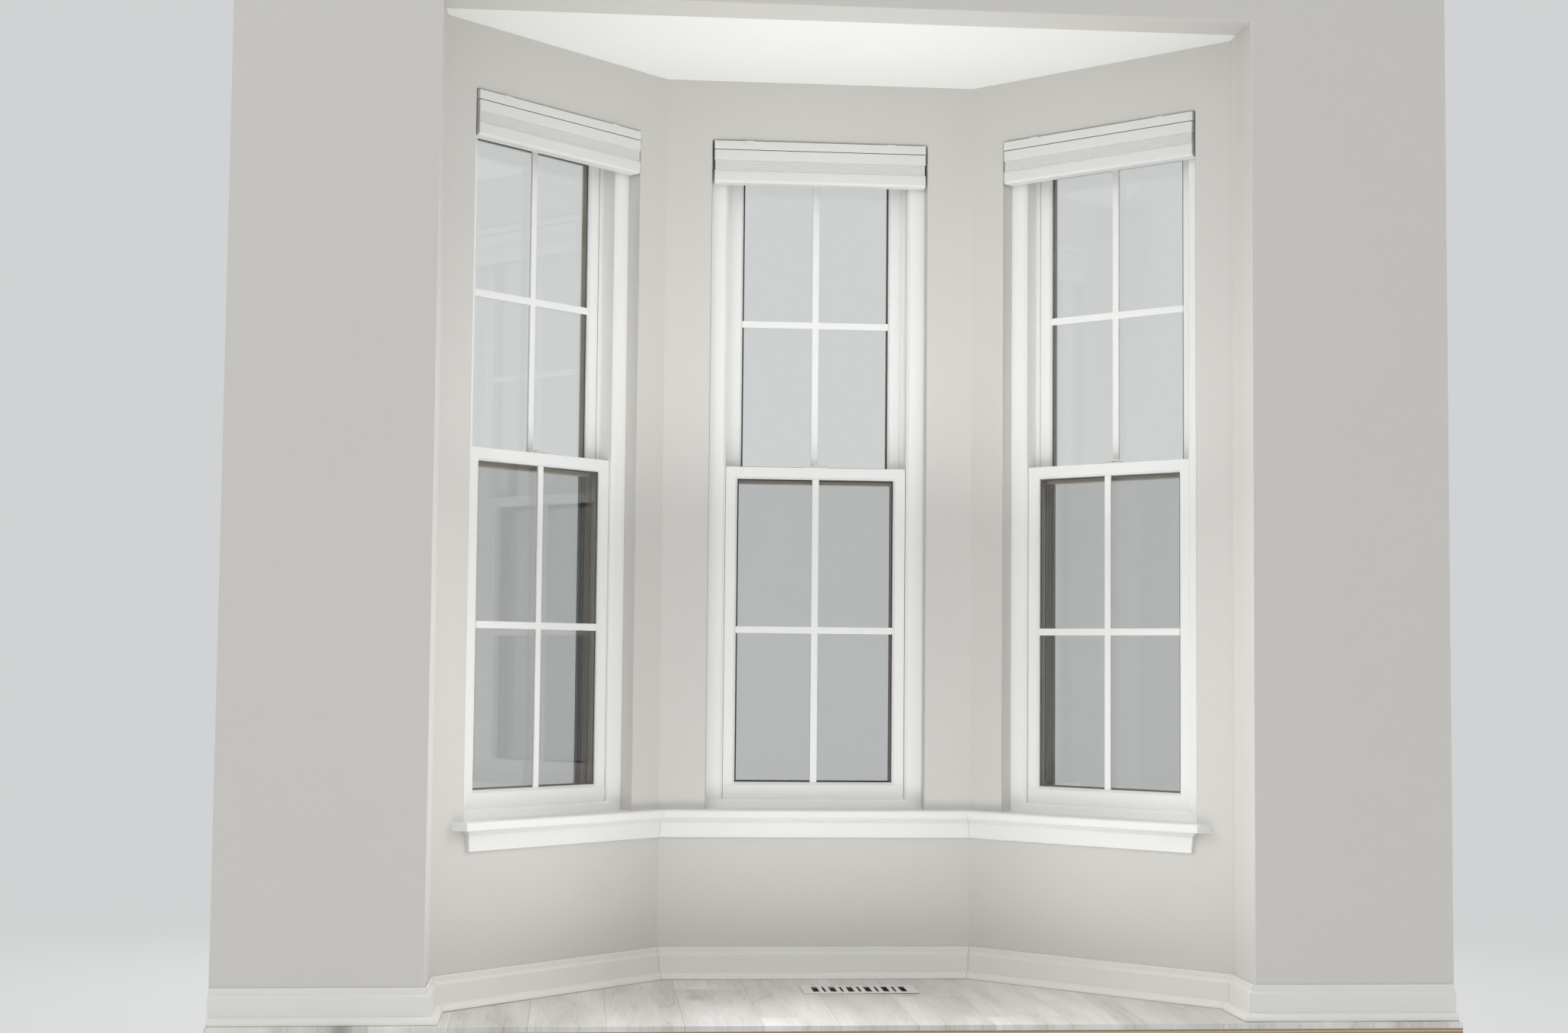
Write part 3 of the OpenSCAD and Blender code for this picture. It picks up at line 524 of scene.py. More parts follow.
# -------- mesh building
class Solids:
    """Gathers closed solids, each with its own random lot number, into one mesh."""

    def __init__(self, seed=1):
        self.mesh = bmesh.new()
        self.lot = self.mesh.verts.layers.float.new("lot")
        self.random = random.Random(seed)

    def add(self, place, points, faces, lot=None):
        """points in millimetres at place; faces as lists of point numbers."""
        value = self.random.random() if lot is None else lot
        made = [self.mesh.verts.new(place @ Vector(p)) for p in points]
        for vertex in made:
            vertex[self.lot] = value
        for face in faces:
            self.mesh.faces.new([made[i] for i in face])

    def slab(self, place, outline, low, high, lot=None):
        """A flat outline raised from low to high, which is a number or a function of the point."""
        points = [(*p, low) for p in outline] + [(*p, high(p) if callable(high) else high) for p in outline]
        self.add(place, points, prism_faces(len(outline)), lot)

    def box(self, place, low, high, lot=None):
        """A block between two corners."""
        self.slab(place, rectangle(*low[:2], *high[:2]), low[2], high[2], lot)

    def ring(self, place, opening, profile, lot=None):
        """A profile of inward and depth points carried round an opening x0, z0, x1, z1, mitred."""
        x0, z0, x1, z1 = opening
        corners = ((x0, z0, 1, 1), (x1, z0, -1, 1), (x1, z1, -1, -1), (x0, z1, 1, -1))
        points = [(x + sx * m, y, z + sz * m) for m, y in profile for x, z, sx, sz in corners]
        n = len(profile)
        faces = [(4 * i + c, 4 * i + (c + 1) % 4, 4 * ((i + 1) % n) + (c + 1) % 4, 4 * ((i + 1) % n) + c)
                 for i in range(n) for c in range(4)]
        self.add(place, points, faces, lot)

    def done(self, name, finish, slot, replaces=(), bevel=0.0, segments=2):
        """Makes the object. With a bevel, in millimetres, its edges are rounded and shaded smoothly."""
        bmesh.ops.recalc_face_normals(self.mesh, faces=self.mesh.faces)
        data = bpy.data.meshes.new(name)
        self.mesh.to_mesh(data)
        self.mesh.free()
        made = bpy.data.objects.new(name, data)
        bpy.context.collection.objects.link(made)
        data.materials.append(finish.material)
        if bevel:
            soften(made, bevel, segments)
        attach(made, "root")
        if replaces:
            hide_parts(*replaces)


def soften(piece, width=0.0, segments=2):
    """Shades a piece smoothly with its flat faces kept flat, and rounds or just parts its sharp edges."""
    piece.data.shade_smooth()
    if width:
        edge = piece.modifiers.new("edges", "BEVEL")
        edge.width = width / 1000
        edge.segments = segments
        edge.limit_method = "ANGLE"
        edge.angle_limit = math.radians(34)
    else:
        edge = piece.modifiers.new("edges", "EDGE_SPLIT")
        edge.split_angle = math.radians(50)
    weighted = piece.modifiers.new("normals", "WEIGHTED_NORMAL")
    weighted.weight = 100


def dress(node, finish, bevel=0.0, segments=2):
    """Finishes a CAD node: its triangles are joined into flat faces, and its edges rounded."""
    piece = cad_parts[node]
    piece.data.materials.clear()
    piece.data.materials.append(finish.material)
    for name in ("custom_normal", "sharp_face", "sharp_edge"):
        if name in piece.data.attributes:
            piece.data.attributes.remove(piece.data.attributes[name])
    weld = piece.modifiers.new("weld", "WELD")
    weld.merge_threshold = 0.00002
    flat = piece.modifiers.new("flat", "DECIMATE")
    flat.decimate_type = "DISSOLVE"
    flat.angle_limit = math.radians(1)
    soften(piece, bevel, segments)


def prism_faces(n):
    """Faces of a solid whose first n points go round its underside and the next n round its top."""
    sides = [(i, (i + 1) % n, n + (i + 1) % n, n + i) for i in range(n)]
    return [tuple(range(n))[::-1], tuple(range(n, 2 * n)), *sides]


def rectangle(x0, y0, x1, y1):
    """Outline of a rectangle."""
    return [(x0, y0), (x1, y0), (x1, y1), (x0, y1)]


def grown(corners, by):
    """A rectangle x0, y0, x1, y1 made larger all round."""
    x0, y0, x1, y1 = corners
    return x0 - by, y0 - by, x1 + by, y1 + by


def rounded(x0, y0, x1, y1, r, steps=4):
    """Outline of a rectangle with rounded corners."""
    corners = ((x1 - r, y1 - r, 0), (x0 + r, y1 - r, 90), (x0 + r, y0 + r, 180), (x1 - r, y0 + r, 270))
    turns = [(x, y, math.radians(a + 90 * i / steps)) for x, y, a in corners for i in range(steps + 1)]
    return [(x + r * math.cos(a), y + r * math.sin(a)) for x, y, a in turns]


def circle(r, steps, x=0.0, y=0.0):
    """Outline of a circle about x, y."""
    turns = [math.tau * i / steps for i in range(steps)]
    return [(x + r * math.cos(a), y + r * math.sin(a)) for a in turns]


def clipped(outline, *edges):
    """The part of a polygon where every edge, a linear function of the point, is positive."""
    for edge in edges:
        kept = []
        for a, b in zip(outline, outline[1:] + outline[:1]):
            da, db = edge(a), edge(b)
            if da >= 0:
                kept.append(a)
            if da * db < 0:
                t = da / (da - db)
                kept.append((a[0] + t * (b[0] - a[0]), a[1] + t * (b[1] - a[1])))
        outline = kept
    return outline


# -------- floor
BOARD_PITCH, BOARD_JOINT, BOARD_L = 166.5, -182.0, 1220.0
# Where the photo shows a butt joint, by the board's number from the joint line
SEEN_BUTTS = {-1: 489.0, 0: 58.0, 3: 62.0}
# Inside of the register's rim: x0, y0, x1, y1
REGISTER_WELL = (REGISTER_X - REGISTER_L / 2 + REGISTER_RIM, REGISTER_Y + REGISTER_RIM,
                 REGISTER_X + REGISTER_L / 2 - REGISTER_RIM, REGISTER_Y + REGISTER_W - REGISTER_RIM)


# How far beside a step in the wall its depth is taken
BESIDE = 0.01


def wall_behind(x):
    """How far the floor reaches out, Y of the plaster face at x."""
    x = abs(x)
    return 0.0 if x > HALF_W else min(BAY_IN, REVEAL_D + HALF_W - x)


def board_outline(x0, x1, y0, y1):
    """A board between x0 and x1 and from y0 to y1, cut along the wall."""
    turns = [x for x in (HALF_W, CENTRE_W / 2, -CENTRE_W / 2, -HALF_W) if x0 < x < x1]
    back = [(x1, -BESIDE), *((x, e) for x in turns for e in (BESIDE, -BESIDE)), (x0, BESIDE)]
    outline = [(x0, y0), (x1, y0)] + [(x, min(y1, wall_behind(x + e))) for x, e in back]
    return [p for i, p in enumerate(outline) if math.dist(p, outline[i - 1]) > 0.05]


def make_floor():
    """Boards along Y with hairline joints, cut out round the register."""
    boards = Solids(seed=3)
    hole = grown(REGISTER_WELL, 0.5)
    first, last = (math.floor((x - BOARD_JOINT) / BOARD_PITCH) for x in (-END_X, END_X))
    joint, shortest = 0.15, 5
    for number in range(first, last + 1):
        x0 = max(-END_X, BOARD_JOINT + number * BOARD_PITCH + joint)
        x1 = min(END_X, BOARD_JOINT + (number + 1) * BOARD_PITCH - joint)
        butt = SEEN_BUTTS.get(number, boards.random.uniform(-400, 900))
        for start in (butt + i * BOARD_L for i in range(-2, 3)):
            y0, y1 = max(-FLOOR_LIP, start + joint), min(BAY_IN, start + BOARD_L - joint)
            reach = max(wall_behind(x0 + BESIDE), wall_behind(x1 - BESIDE), BAY_IN if x0 < 0 < x1 else 0)
            if y1 - y0 < shortest or y0 >= reach:
                continue
            lot = boards.random.random()
            for outline in without_hole(x0, x1, y0, y1, hole):
                boards.slab(PLAN, outline, FRAME_TOP, FLOOR_Z, lot)
    boards.done("floor_boards", floor_boards_finish(), "floor_planks", ["plank_floor"], 0.4, 1)


def without_hole(x0, x1, y0, y1, hole):
    """Outlines that make up a board once the register's hole is cut from it."""
    hx0, hy0, hx1, hy1 = hole
    if x1 <= hx0 or x0 >= hx1 or y1 <= hy0 or y0 >= hy1:
        return [board_outline(x0, x1, y0, y1)]
    left, right, near, far = max(x0, hx0), min(x1, hx1), max(y0, hy0), min(y1, hy1)
    around_hole = ((x0, x1, y0, near), (x0, x1, far, y1), (x0, left, near, far), (right, x1, near, far))
    return [board_outline(*part) for part in around_hole if part[0] < part[1] and part[2] < part[3]]


def make_register():
    """The register keeps its CAD plate; under the slots lie a damper and its blades, near black as painted
    shade of the duct.
    """
    x0, y0, x1, y1 = grown(REGISTER_WELL, -4.5)
    blades, blade, blade_z = 4, [(-9, -3.2), (-8.5, -4), (9, 3.2), (8.5, 4)], FRAME_TOP + 6
    plate_z, plate_t = FRAME_TOP + 0.2, 1
    parts = Solids(seed=5)
    # A near-black sheet under the slots stands in for the shade down the duct
    parts.box(PLAN, (x0, y0, plate_z), (x1, y1, plate_z + plate_t))
    for i in range(blades):
        y = y0 + (i + 0.5) * (y1 - y0) / blades
        parts.slab(PLAN @ at(x0, y, blade_z) @ ALONG_X, blade, 0, x1 - x0)
    metal = plain_finish("damper_and_duct_shade", srgb(22, 22, 22), 0.6)
    parts.done("register_damper_and_duct_shade", metal, "register_enamel", bevel=0.2)


# -------- windows
def each_light():
    """Of all six sashes: the window's place, the glass opening's corners, the two faces of the glass."""
    sashes = ((LOWER_X, LOWER_Z, LOWER_Y, *LOWER_LIGHT), (UPPER_X, UPPER_Z, UPPER_Y, *UPPER_LIGHT))
    for k in FACETS:
        for x, z, y, light_x, light_z, w, h in sashes:
            x0, z0, near = x + light_x, z + light_z, y + (SASH_T - GLASS_T) / 2
            yield in_window(k), (x0, z0, x0 + w, z0 + h), near, near + GLASS_T


def make_panes():
    """Each sealed unit is two panes with a spacer between them and a grey sealing line round it."""
    panes, spacers, seals = Solids(), Solids(), Solids()
    pane_t, spacer_in, spacer_w, seal_w, seal_t = 3, 0.5, 7.5, 1.6, 1.8
    for w, opening, near, far in each_light():
        x0, z0, x1, z1 = unit = grown(opening, GLASS_IN - 0.2)
        for front in (near, far - pane_t):
            panes.box(w, (x0, front, z0), (x1, front + pane_t, z1))
        inner, outer = near + pane_t, far - pane_t
        spacers.ring(w, unit, [(spacer_in, inner), (spacer_w, inner), (spacer_w, outer), (spacer_in, outer)])
        for face, top in ((near, near - seal_t), (far, far + seal_t)):
            seals.ring(w, grown(opening, 0.3), [(0, face), (seal_w, face), (seal_w - 1, top), (0, top)])
    panes.done("glass_panes", clear_glass(), "window_glass", [f"{s}_glass" for s in SIDES])
    spacers.done("pane_spacers", plain_finish("spacer_metal", srgb(150, 140, 132), 0.35, Metallic=0.6),
                 "screen_frame", bevel=0.5)
    seals.done("glazing_seals", plain_finish("glazing_seal", srgb(196, 196, 193), 0.6), "window_vinyl")


def make_weatherstrips():
    """Grey pile strips that close the gaps between the sashes and the frame."""
    strips = Solids(seed=7)
    strip_w, gap = 2.6, 0.6
    low, high = LOWER_TOP - 22, LOWER_TOP - 16
    for k in FACETS:
        w = in_window(k)
        for x in (FIN_M - strip_w - gap, WIN_W - FIN_M + gap):
            strips.box(w, (x, FIN_Y + 3, LOWER_TOP), (x + strip_w, UPPER_Y, UPPER_TOP - 4))
        strips.box(w, (FIN_M + 1, LOWER_Y + SASH_T, low), (WIN_W - FIN_M - 1, UPPER_Y, high))
    strips.done("weatherstrips", plain_finish("pile_strip", srgb(126, 124, 120), 0.95, 0.12, 900, 0.0003),
                "window_vinyl")


def make_screens():
    """Woven insect screens: wires both ways in the CAD frames, held by a rubber cord in a groove."""
    wires, cords = Solids(), Solids()
    pitch, wire = 1.7, 0.26
    x0, x1 = STOP_M + SCREEN_W, WIN_W - STOP_M - SCREEN_W
    z0, z1 = STOP_M + SCREEN_W, STOP_M + SCREEN_H - SCREEN_W
    y = STOP_Y + STOP_T / 2
    for k in FACETS:
        w = in_window(k)
        for i in range(int((x1 - x0) / pitch)):
            x = x0 + (i + 0.5) * pitch
            wires.box(w, (x, y, z0 - 2), (x + wire, y + wire, z1 + 2), 0.5)
        for i in range(int((z1 - z0) / pitch)):
            z = z0 + (i + 0.5) * pitch
            wires.box(w, (x0 - 2, y - wire, z), (x1 + 2, y, z + wire), 0.5)
        near, far, outer, inner = STOP_Y - 0.4, STOP_Y + 0.6, SCREEN_W - 6, SCREEN_W - 3
        cords.ring(w, (STOP_M, STOP_M, WIN_W - STOP_M, STOP_M + SCREEN_H), [
            (outer, near), (inner, near), (inner, far), (outer, far)])
    wires.done("screen_wires", plain_finish("screen_wire", srgb(92, 94, 92), 0.6), "screen_frame")
    rubber = plain_finish("screen_rubber", srgb(48, 48, 47), 0.8)
    cords.done("screen_cords", rubber, "screen_frame", bevel=0.3)


def make_grille_pins():
    """White plastic pins that hold the ends of the grille bars in the sash."""
    pins = Solids(seed=9)
    half_l, half_w, half_t = 5, 3, 2
    for w, (x0, z0, x1, z1), near, _ in each_light():
        y, middle_x, middle_z = near - BAR_T / 2, (x0 + x1) / 2, (z0 + z1) / 2
        for x, z in ((middle_x, z0), (middle_x, z1), (x0, middle_z), (x1, middle_z)):
            a, b = (half_w, half_l) if x == middle_x else (half_l, half_w)
            pins.box(w, (x - a, y - half_t, z - b), (x + a, y + half_t, z + b))
    pins.done("grille_pins", plain_finish("pin_plastic", srgb(228, 228, 226), 0.4), "grille_vinyl", bevel=0.8)


def make_locks():
    """Cam locks on the meeting rails: a base with two screws, a hub and a swept lever."""
    locks = Solids(seed=11)
    half, deep, base_h, top, lever_t = 32, 9, 3.4, 9, 3.4
    lever = [(-4, -5.5), (8, -6.5), (22, -8.6), (30, -8.9), (31.5, -6),
             (30, -3.4), (20, -1.5), (8, 4.5), (-3, 5.5)]
    for k in FACETS:
        w = in_window(k) @ at(WIN_W / 2, LOWER_Y + SASH_T / 2, LOWER_TOP)
        locks.slab(w, rounded(-half, -deep, half, deep, 5), 0, base_h)
        locks.slab(w, circle(deep * 0.92, 28), base_h, top - 1.2)
        locks.slab(w, lever, top - lever_t, lambda p: top - 0.9 * max(0, p[0]) / half)
        for x in (-23, 23):
            locks.slab(w, circle(3, 16, x, 3.5), base_h - 0.2, base_h + 0.7)
    enamel = plain_finish("lock_enamel", srgb(232, 232, 229), 0.37, 0.02)
    locks.done("window_cam_locks", enamel, "lock_enamel", ["sash_locks"], bevel=0.7)


# -------- blinds
def make_blinds():
    """Under each headrail: a middle rail, a stack of folded cells and a bevelled bottom rail."""
    rails, cells, caps, cords = (Solids(seed) for seed in (13, 14, 15, 16))
    x0, x1, deep = BLIND_GAP, WIN_W - BLIND_GAP, BLIND_D
    cap, pleats, cord_w, cord_in, cord_y = 1.5, 7, 1.2, 95, 17
    # Heights from the top of the window opening, depths from the front of the blind
    under_head = -HEADRAIL_H - HEAD_GAP
    top = under_head - 1.6
    mid = under_head - RAIL_H
    low = mid - STACK_H
    rail_top = mid - 0.45 * STACK_H
    step = (mid - rail_top) / pleats
    middle_rail = [(0, top - 1), (1, top), (deep - 1, top), (deep, top - 1), (deep, mid), (0, mid)]
    bottom_rail = [(1.4, rail_top), (0.4, rail_top - 2.5), (0, rail_top - 6), (0, low + 6.5),
                   (0.8, low + 4.4), (6, low), (deep - 1.5, low), (deep, low + 2), (deep, rail_top)]
    folds = [(1.3 if i % 2 else 2.2, mid - i * step / 2) for i in range(2 * pleats + 1)]
    stack = folds + [(deep - 1 - y, z) for y, z in reversed(folds)]
    for k in FACETS:
        w = in_window(k) @ at(0, BLIND_FRONT, WIN_H)
        for shape in (middle_rail, bottom_rail):
            rails.slab(w @ ALONG_X, shape, x0 + cap, x1 - cap)
            for x in (x0, x1 - cap):
                caps.slab(w @ ALONG_X, shape, x, x + cap)
        cells.slab(w @ ALONG_X, stack, x0 + cap + 1, x1 - cap - 1)
        # The lift cords cross the gap under the headrail
        for x in (x0 + cord_in, (x0 + x1) / 2, x1 - cord_in):
            cords.box(w, (x - cord_w / 2, cord_y, top - 0.5),
                      (x + cord_w / 2, cord_y + cord_w, under_head + 0.5))
    enamel, cloth = trim_paint("blind_rail", BLIND, 0.4), pleated_cloth()
    plastic = plain_finish("cap_plastic", srgb(204, 203, 199), 0.45)
    white_cord = plain_finish("cord_white", srgb(220, 220, 216), 0.9, 0.05, 600)
    rails.done("blind_rails", enamel, "blind_rail", ["raised_shades"], bevel=0.6)
    cells.done("blind_cells", cloth, "blind_shade")
    caps.done("blind_end_caps", plastic, "blind_rail", bevel=0.3)
    cords.done("blind_lift_cords", white_cord, "blind_shade")


# -------- outside
EXPOSURE, BUTT_T, LAP_T = 101.6, 12.0, 4.0


def courses(boards, top):
    """Of each course of lap boards up to a height: its bottom, its top, its face's depth, a lot number."""
    for i in range(math.ceil((top - SIDING_BOTTOM) / EXPOSURE)):
        z0 = SIDING_BOTTOM + i * EXPOSURE

        def face(p, z0=z0):
            """Thick at the board's lower edge and thin at its top."""
            return BUTT_T - (BUTT_T - LAP_T) * (p[1] - z0) / EXPOSURE

        yield z0, min(z0 + EXPOSURE, top), face, boards.random.random()


def make_bay_siding():
    """Lap boards on the three facets, between the corner boards and round the window casings."""
    boards = Solids(seed=21)
    gap = 1
    # How far the sheathing of a canted facet runs on beyond its plaster, to the house wall
    reach = (REVEAL_D + WALL_T * DIAGONAL - WALL_T) / DIAGONAL
    at_house = SIDING_T * MITRE + TRIM_T - reach + gap
    at_corner = CORNER_W - WALL_T * MITRE + gap
    for k in FACETS:
        near = at_house if k == LEFT else at_corner
        far = FACET_L[k] - (at_house if k == RIGHT else at_corner)
        x = (FACET_L[k] - WIN_W) / 2
        casing = grown((x, SILL_Z, x + WIN_W, SILL_Z + WIN_H), CASING_W + gap)
        place = on_facet(k) @ at(0, WALL_T, 0) @ UPRIGHT
        for z0, z1, face, lot in courses(boards, SOFFIT_Z):
            for outline in around(near, far, z0, z1, casing):
                boards.slab(place, outline, 0, face, lot)
    boards.done("bay_lap_boards", siding_paint(), "lap_siding", ["bay_siding"], 0.8, 1)


def around(x0, x1, z0, z1, hole):
    """Outlines of a course x0..x1, z0..z1 once a hole is cut from it."""
    hx0, hz0, hx1, hz1 = hole
    low, high = max(z0, hz0), min(z1, hz1)
    if low >= high:
        return [rectangle(x0, z0, x1, z1)]
    if low <= z0 and high >= z1:
        return [rectangle(x0, z0, hx0, z1), rectangle(hx1, z0, x1, z1)]
    if low > z0:
        return [[(x0, z0), (x1, z0), (x1, z1), (hx1, z1), (hx1, low), (hx0, low), (hx0, z1), (x0, z1)]]
    return [[(x0, z0), (hx0, z0), (hx0, high), (hx1, high), (hx1, z0), (x1, z0), (x1, z1), (x0, z1)]]


def make_house_siding():
    """Lap boards on the house wall beside the bay and above its roof."""
    boards = Solids(seed=23)
    bay_side = bay_corner(WALL_T + SIDING_T, 3)[0]
    slope = (ROOF_TOP - DECK_Z) / (ROOF_FOOT_X - HIP_X)
    place = PLAN @ at(0, WALL_T, 0) @ UPRIGHT

    def above_roof(p):
        """Height of a point over a line 4 mm above the roof."""
        return p[1] - DECK_Z - slope * (ROOF_FOOT_X - abs(p[0])) - 4

    for z0, z1, face, lot in courses(boards, HOUSE_TOP):
        if z0 >= ROOF_TOP:
            boards.slab(place, rectangle(-END_X, z0, END_X, z1), 0, face, lot)
            continue
        for side in (-1, 1):
            inner = bay_side if z1 <= DECK_Z else 0
            course = rectangle(side * END_X, z0, side * inner, z1)
            if z1 > DECK_Z:
                course = clipped(course, above_roof)
            if len(course) > 2:
                boards.slab(place, course, 0, face, lot)
    boards.done("house_lap_boards", siding_paint(), "lap_siding", ["house_siding"], 0.8, 1)


def slope_frame(k):
    """x along eave k from its middle, y up the slope, z square to it; and the eave's half length."""
    half, middle = EAVE_CORNER_X, (0, BAY_IN + EAVE_OUT)
    if k != CENTRE:
        half = math.hypot(ROOF_RUN, ROOF_RUN) / 2
        x = (ROOF_FOOT_X + EAVE_CORNER_X) / 2
        middle = (-x if k == LEFT else x, BAY_IN + EAVE_OUT - ROOF_RUN / 2)
    turn = math.radians(TURN[k] + 180)
    place = PLAN @ at(*middle, DECK_Z) @ Matrix.Rotation(turn, 4, "Z") @ Matrix.Rotation(ROOF_PITCH, 4, "X")
    return place, half


def slope_edges(k, half):
    """What a slope covers, as functions that are positive inside it, in slope_frame's x and y."""
    up = math.cos(ROOF_PITCH)  # plan distance for each unit along the slope
    edges = []
    for side in (-1, 1):
        # Seen from outside x runs to the right, so the left facet ends at the house wall at +x.
        # That wall runs at 45 degrees to the eave, and a hip at half of it from square.
        at_wall = side == {LEFT: 1, RIGHT: -1}.get(k)
        lean = up if at_wall else MITRE * up
        edges.append(lambda p, side=side, lean=lean: half - side * p[0] - lean * p[1])
    if k == CENTRE:
        edges.append(lambda p: ROOF_RUN / up - p[1])
    return edges


def make_shingles(exposure=140.0, tab=305.0, slot=6.0, smallest=150.0):
    """Three-tab shingles in stepped courses, cut along the hips and the wall, with hip caps."""
    tabs, caps = Solids(seed=25), Solids(seed=26)
    length = ROOF_RUN / math.cos(ROOF_PITCH)
    butt_t, top_t = 6.5, 3.0
    for k in FACETS:
        place, half = slope_frame(k)
        edges = slope_edges(k, half)
        for course in range(math.ceil(length / exposure)):
            y0 = 5 + course * exposure
            y1 = min(y0 + exposure + 2, length)
            shift = (course % 2) * tab / 2
            count = math.ceil(half / tab) + 1
            for i in range(-count, count):
                x0 = i * tab + shift
                outline = clipped(rectangle(x0 + slot / 2, y0, x0 + tab - slot / 2, y1), *edges)
                if len(outline) > 2 and area_of(outline) > smallest:
                    tabs.slab(place, outline, 0.5,
                              lambda p, y0=y0: butt_t - (butt_t - top_t) * (p[1] - y0) / exposure)
    for side in (-1, 1):
        make_hip_caps(caps, side)
    finish = shingle_granules()
    tabs.done("roof_shingles", finish, "shingles", bevel=0.6, segments=1)
    caps.done("hip_caps", finish, "shingles", bevel=0.6, segments=1)


def area_of(outline):
    """Area of a polygon."""
    return abs(sum(a[0] * b[1] - b[0] * a[1] for a, b in zip(outline, outline[1:] + outline[:1]))) / 2


def make_hip_caps(caps, side):
    """Overlapping cap shingles bent over one hip."""
    foot = Vector((side * EAVE_CORNER_X, BAY_IN + EAVE_OUT, DECK_Z))
    head = Vector((side * HIP_X, BAY_IN + EAVE_OUT - ROOF_RUN, ROOF_TOP))
    run, along = (head - foot).length, (head - foot).normalized()
    pieces, lap, reach = 8, 12, 95.0
    step = run / pieces
    # Heights over the slope: of the underside, of the thin upper end, of the thick lower end
    under, thin, thick = 4, 6.5, 11.0
    for i in range(pieces):
        a, b = foot + along * step * i, foot + along * (step * (i + 1) + lap if i < pieces - 1 else run)
        for facet in (CENTRE, LEFT if side < 0 else RIGHT):
            turned = slope_frame(facet)[0].to_3x3().normalized()
            upward = turned @ Vector((0, 0, 1))
            across = along.cross(upward).normalized()
            if across.dot(turned @ Vector((1, 0, 0))) * (1 if (facet == CENTRE) == (side > 0) else -1) < 0:
                across = -across
            corners = [a, a + across * reach, b + across * reach, b]
            low = [c + upward * under for c in corners]
            high = [c + upward * level for c, level in zip(corners, (thick, thick, thin, thin))]
            if i == 0:
                # The first cap is cut off parallel to the eave
                for corner, up in ((0, 8), (1, 43)):
                    low[corner], high[corner] = low[corner] + along * up, high[corner] + along * up
            caps.add(PLAN, [*low, *high], prism_faces(len(corners)))


def make_soffit(paint):
    """Boards under the eaves with grooves between them."""
    boards = Solids(seed=27)
    inner, outer = WALL_T + 1.0, FASCIA_OUT - FASCIA_T - 0.5
    count, half_groove, tongue_t, top = 3, 0.8, 3, SOFFIT_Z + SOFFIT_T
    pitch = (outer - inner) / count
    for k in FACETS:
        for i in range(count):
            out0, out1 = inner + i * pitch, inner + (i + 1) * pitch
            boards.slab(PLAN, soffit_strip(k, out0 + half_groove, out1 - half_groove), SOFFIT_Z, top - 1)
            boards.slab(PLAN, soffit_strip(k, out0, out1), top - tongue_t, top)
    boards.done("soffit_boards", paint, "outside_trim", ["roof_soffit"], bevel=0.8)


def bay_corner(out, i, y=WALL_T + SIDING_T):
    """Point i, 0 to 3 from the left, of the bay's outline at a distance out from its plaster."""
    x = HALF_W + REVEAL_D + 2 * out * DIAGONAL - y if i in (0, 3) else CENTRE_W / 2 + out * MITRE
    return (-x if i < 2 else x, y if i in (0, 3) else BAY_IN + out)


def soffit_strip(k, out0, out1):
    """Outline of a strip along facet k, between two distances out from its plaster."""
    return [bay_corner(out0, k), bay_corner(out0, k + 1), bay_corner(out1, k + 1), bay_corner(out1, k)]


def make_drip_edges():
    """Folded metal along the eaves: a leg down in front of the deck and one up the slope."""
    metal = Solids(seed=28)
    leg, drop, fold_t, metal_t = 70, 4, 1.2, 0.4
    for k in FACETS:
        metal.slab(PLAN, soffit_strip(k, EAVE_OUT - fold_t, EAVE_OUT), EAVE_Z - drop, DECK_Z - 0.2)
        place, half = slope_frame(k)
        metal.slab(place, clipped(rectangle(-half, 1, half, leg), *slope_edges(k, half)), 0, metal_t)
    metal.done("drip_edges", plain_finish("drip_metal", srgb(86, 84, 82), 0.4, 0.04), "flashing")


# -------- stage
def make_stage():
    """A pale floor that fades into the backdrop well behind the part."""
    size, fade_from, fade_to = 60.0, 2.6, 7.0
    mesh = bmesh.new()
    bmesh.ops.create_circle(mesh, cap_ends=True, radius=size, segments=96)
    data = bpy.data.meshes.new("studio_floor")
    mesh.to_mesh(data)
    mesh.free()
    floor = bpy.data.objects.new("studio_floor", data)
    bpy.context.collection.objects.link(floor)
    pale = srgb(222, 223, 223)
    f = Finish("studio_floor", pale, 0.8)
    f.colour(f.tinted(pale, f.noise(40, 3), 0.006))
    away = f.node("VectorMath", {0: f.here}, operation="LENGTH")
    fade = f.spread(away.outputs["Value"], fade_from, fade_to)
    f.choose(f.math("MULTIPLY", fade, seen_directly(f.tree)), f.node("Emission", {"Color": BACKDROP}))
    data.materials.append(f.material)


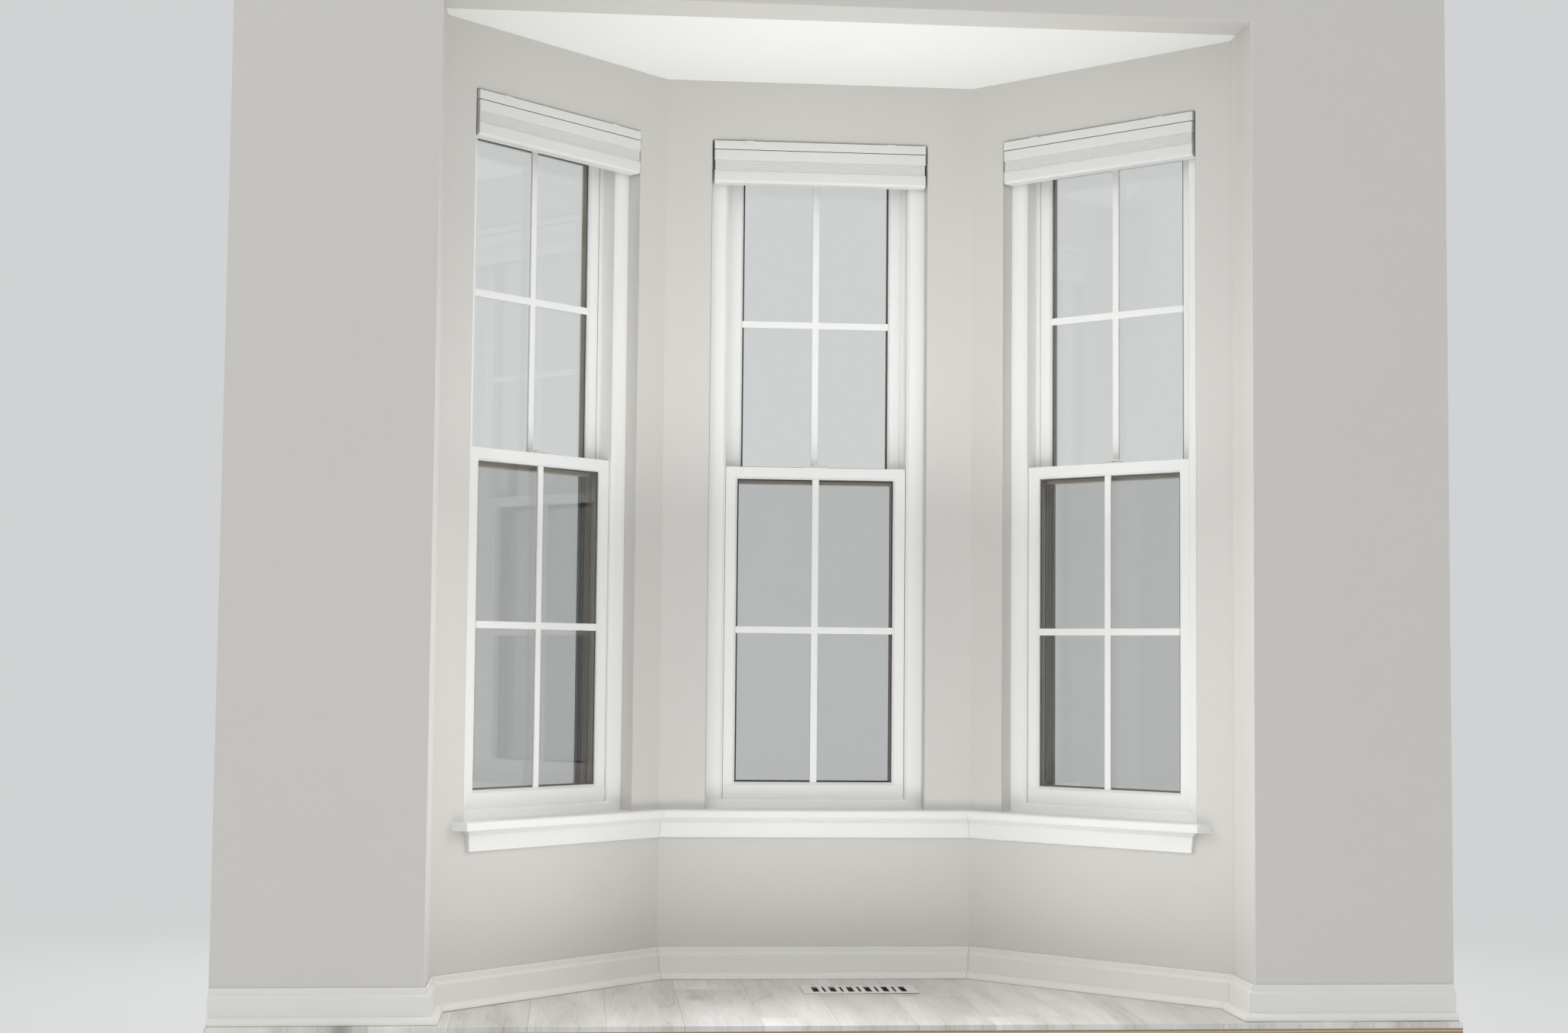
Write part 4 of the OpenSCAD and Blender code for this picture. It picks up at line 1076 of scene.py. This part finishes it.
# -------- all of it
def dress_cad_nodes(outside_paint):
    """Every CAD node that stays gets its finish and its softened edges."""
    paint = wall_paint()
    bay_walls = [f"{side}_bay_wall" for side in SIDES]
    for node in ("left_house_wall", "right_house_wall", "header_wall", *bay_walls):
        dress(node, paint)
    dress("bay_ceiling", ceiling_paint())
    trim = trim_paint("inside_trim", TRIM, 0.3)
    dress("window_stool", trim, 0.8)
    dress("window_apron", trim, 0.6)
    # The baseboard's paint is darker than the other trim as painted shade
    dress("baseboard", trim_paint("baseboard_shaded_paint", SHADED_BASE_TRIM, 0.3), 0.6)
    # The shoe moulding gets a painted shadow line along its foot
    dress("shoe_moulding", with_painted_gap_shadow(trim_paint("shoe_shaded_paint", SHADED_BASE_TRIM, 0.3), 1.3, srgb(92, 88, 82)), 0.6)
    for k, side in enumerate(SIDES):
        dress(f"{side}_window_frame", window_vinyl(k, "frame"), 0.9)
        dress(f"{side}_lower_sash", window_vinyl(k, "lower"), 0.45)
        dress(f"{side}_upper_sash", window_vinyl(k, "upper"), 0.9)
    bars = plain_finish("grille_vinyl", srgb(240, 240, 238), 0.35, 0.01)
    for side in SIDES:
        dress(f"{side}_grilles", bars, 1.3, 3)
    # The screen frames get the dark colour they show in shade, not their own almond: painted shade
    dress("insect_screens", plain_finish("screen_frame", srgb(96, 92, 82), 0.45), 0.8)
    dress("blind_headrails", trim_paint("blind_headrail", BLIND, 0.4), 0.8)
    enamel = trim_paint("register_enamel", srgb(222, 221, 217), 0.35, 0.02)
    # The register gets a painted shadow line under its rim
    dress("floor_register", with_painted_gap_shadow(enamel, 1.4, srgb(40, 40, 39)), 0.5)
    base = concrete()
    dress("main_foundation", base, 5, 3)
    dress("bay_foundation", base, 5, 3)
    dress("floor_joists", sawn_timber(), 1)
    dress("subfloor", plywood(), 0.5)
    for node in ("corner_boards", "window_casings", "fascia_boards"):
        dress(node, outside_paint, 1.2)
    dress("roof_deck", plywood_deck(), 0.5)
    flashing = plain_finish("flashing_metal", srgb(104, 103, 101), 0.38, 0.05, Metallic=0.5)
    dress("wall_flashing", flashing, 0.3)


def plywood_deck():
    """Pressed panels of wood strands."""
    f = Finish("roof_deck_panel", srgb(190, 158, 116), 0.75)
    strands = f.noise((40, 9, 40), 3, distortion=1.2)
    f.colour(f.mix(f.spread(strands, 0.35, 0.7), srgb(204, 172, 128), srgb(150, 116, 78)))
    f.bump(strands, 0.0006)
    return f


make_camera()
make_world()
make_stage()
light_the_part()
outside_paint = trim_paint("outside_trim", srgb(218, 213, 201), 0.45, worn=0.02)
dress_cad_nodes(outside_paint)
make_floor()
make_register()
make_panes()
make_weatherstrips()
make_screens()
make_grille_pins()
make_locks()
make_blinds()
make_bay_siding()
make_house_siding()
make_soffit(outside_paint)
make_drip_edges()
make_shingles()

bpy.context.scene.view_settings.view_transform = "Standard"
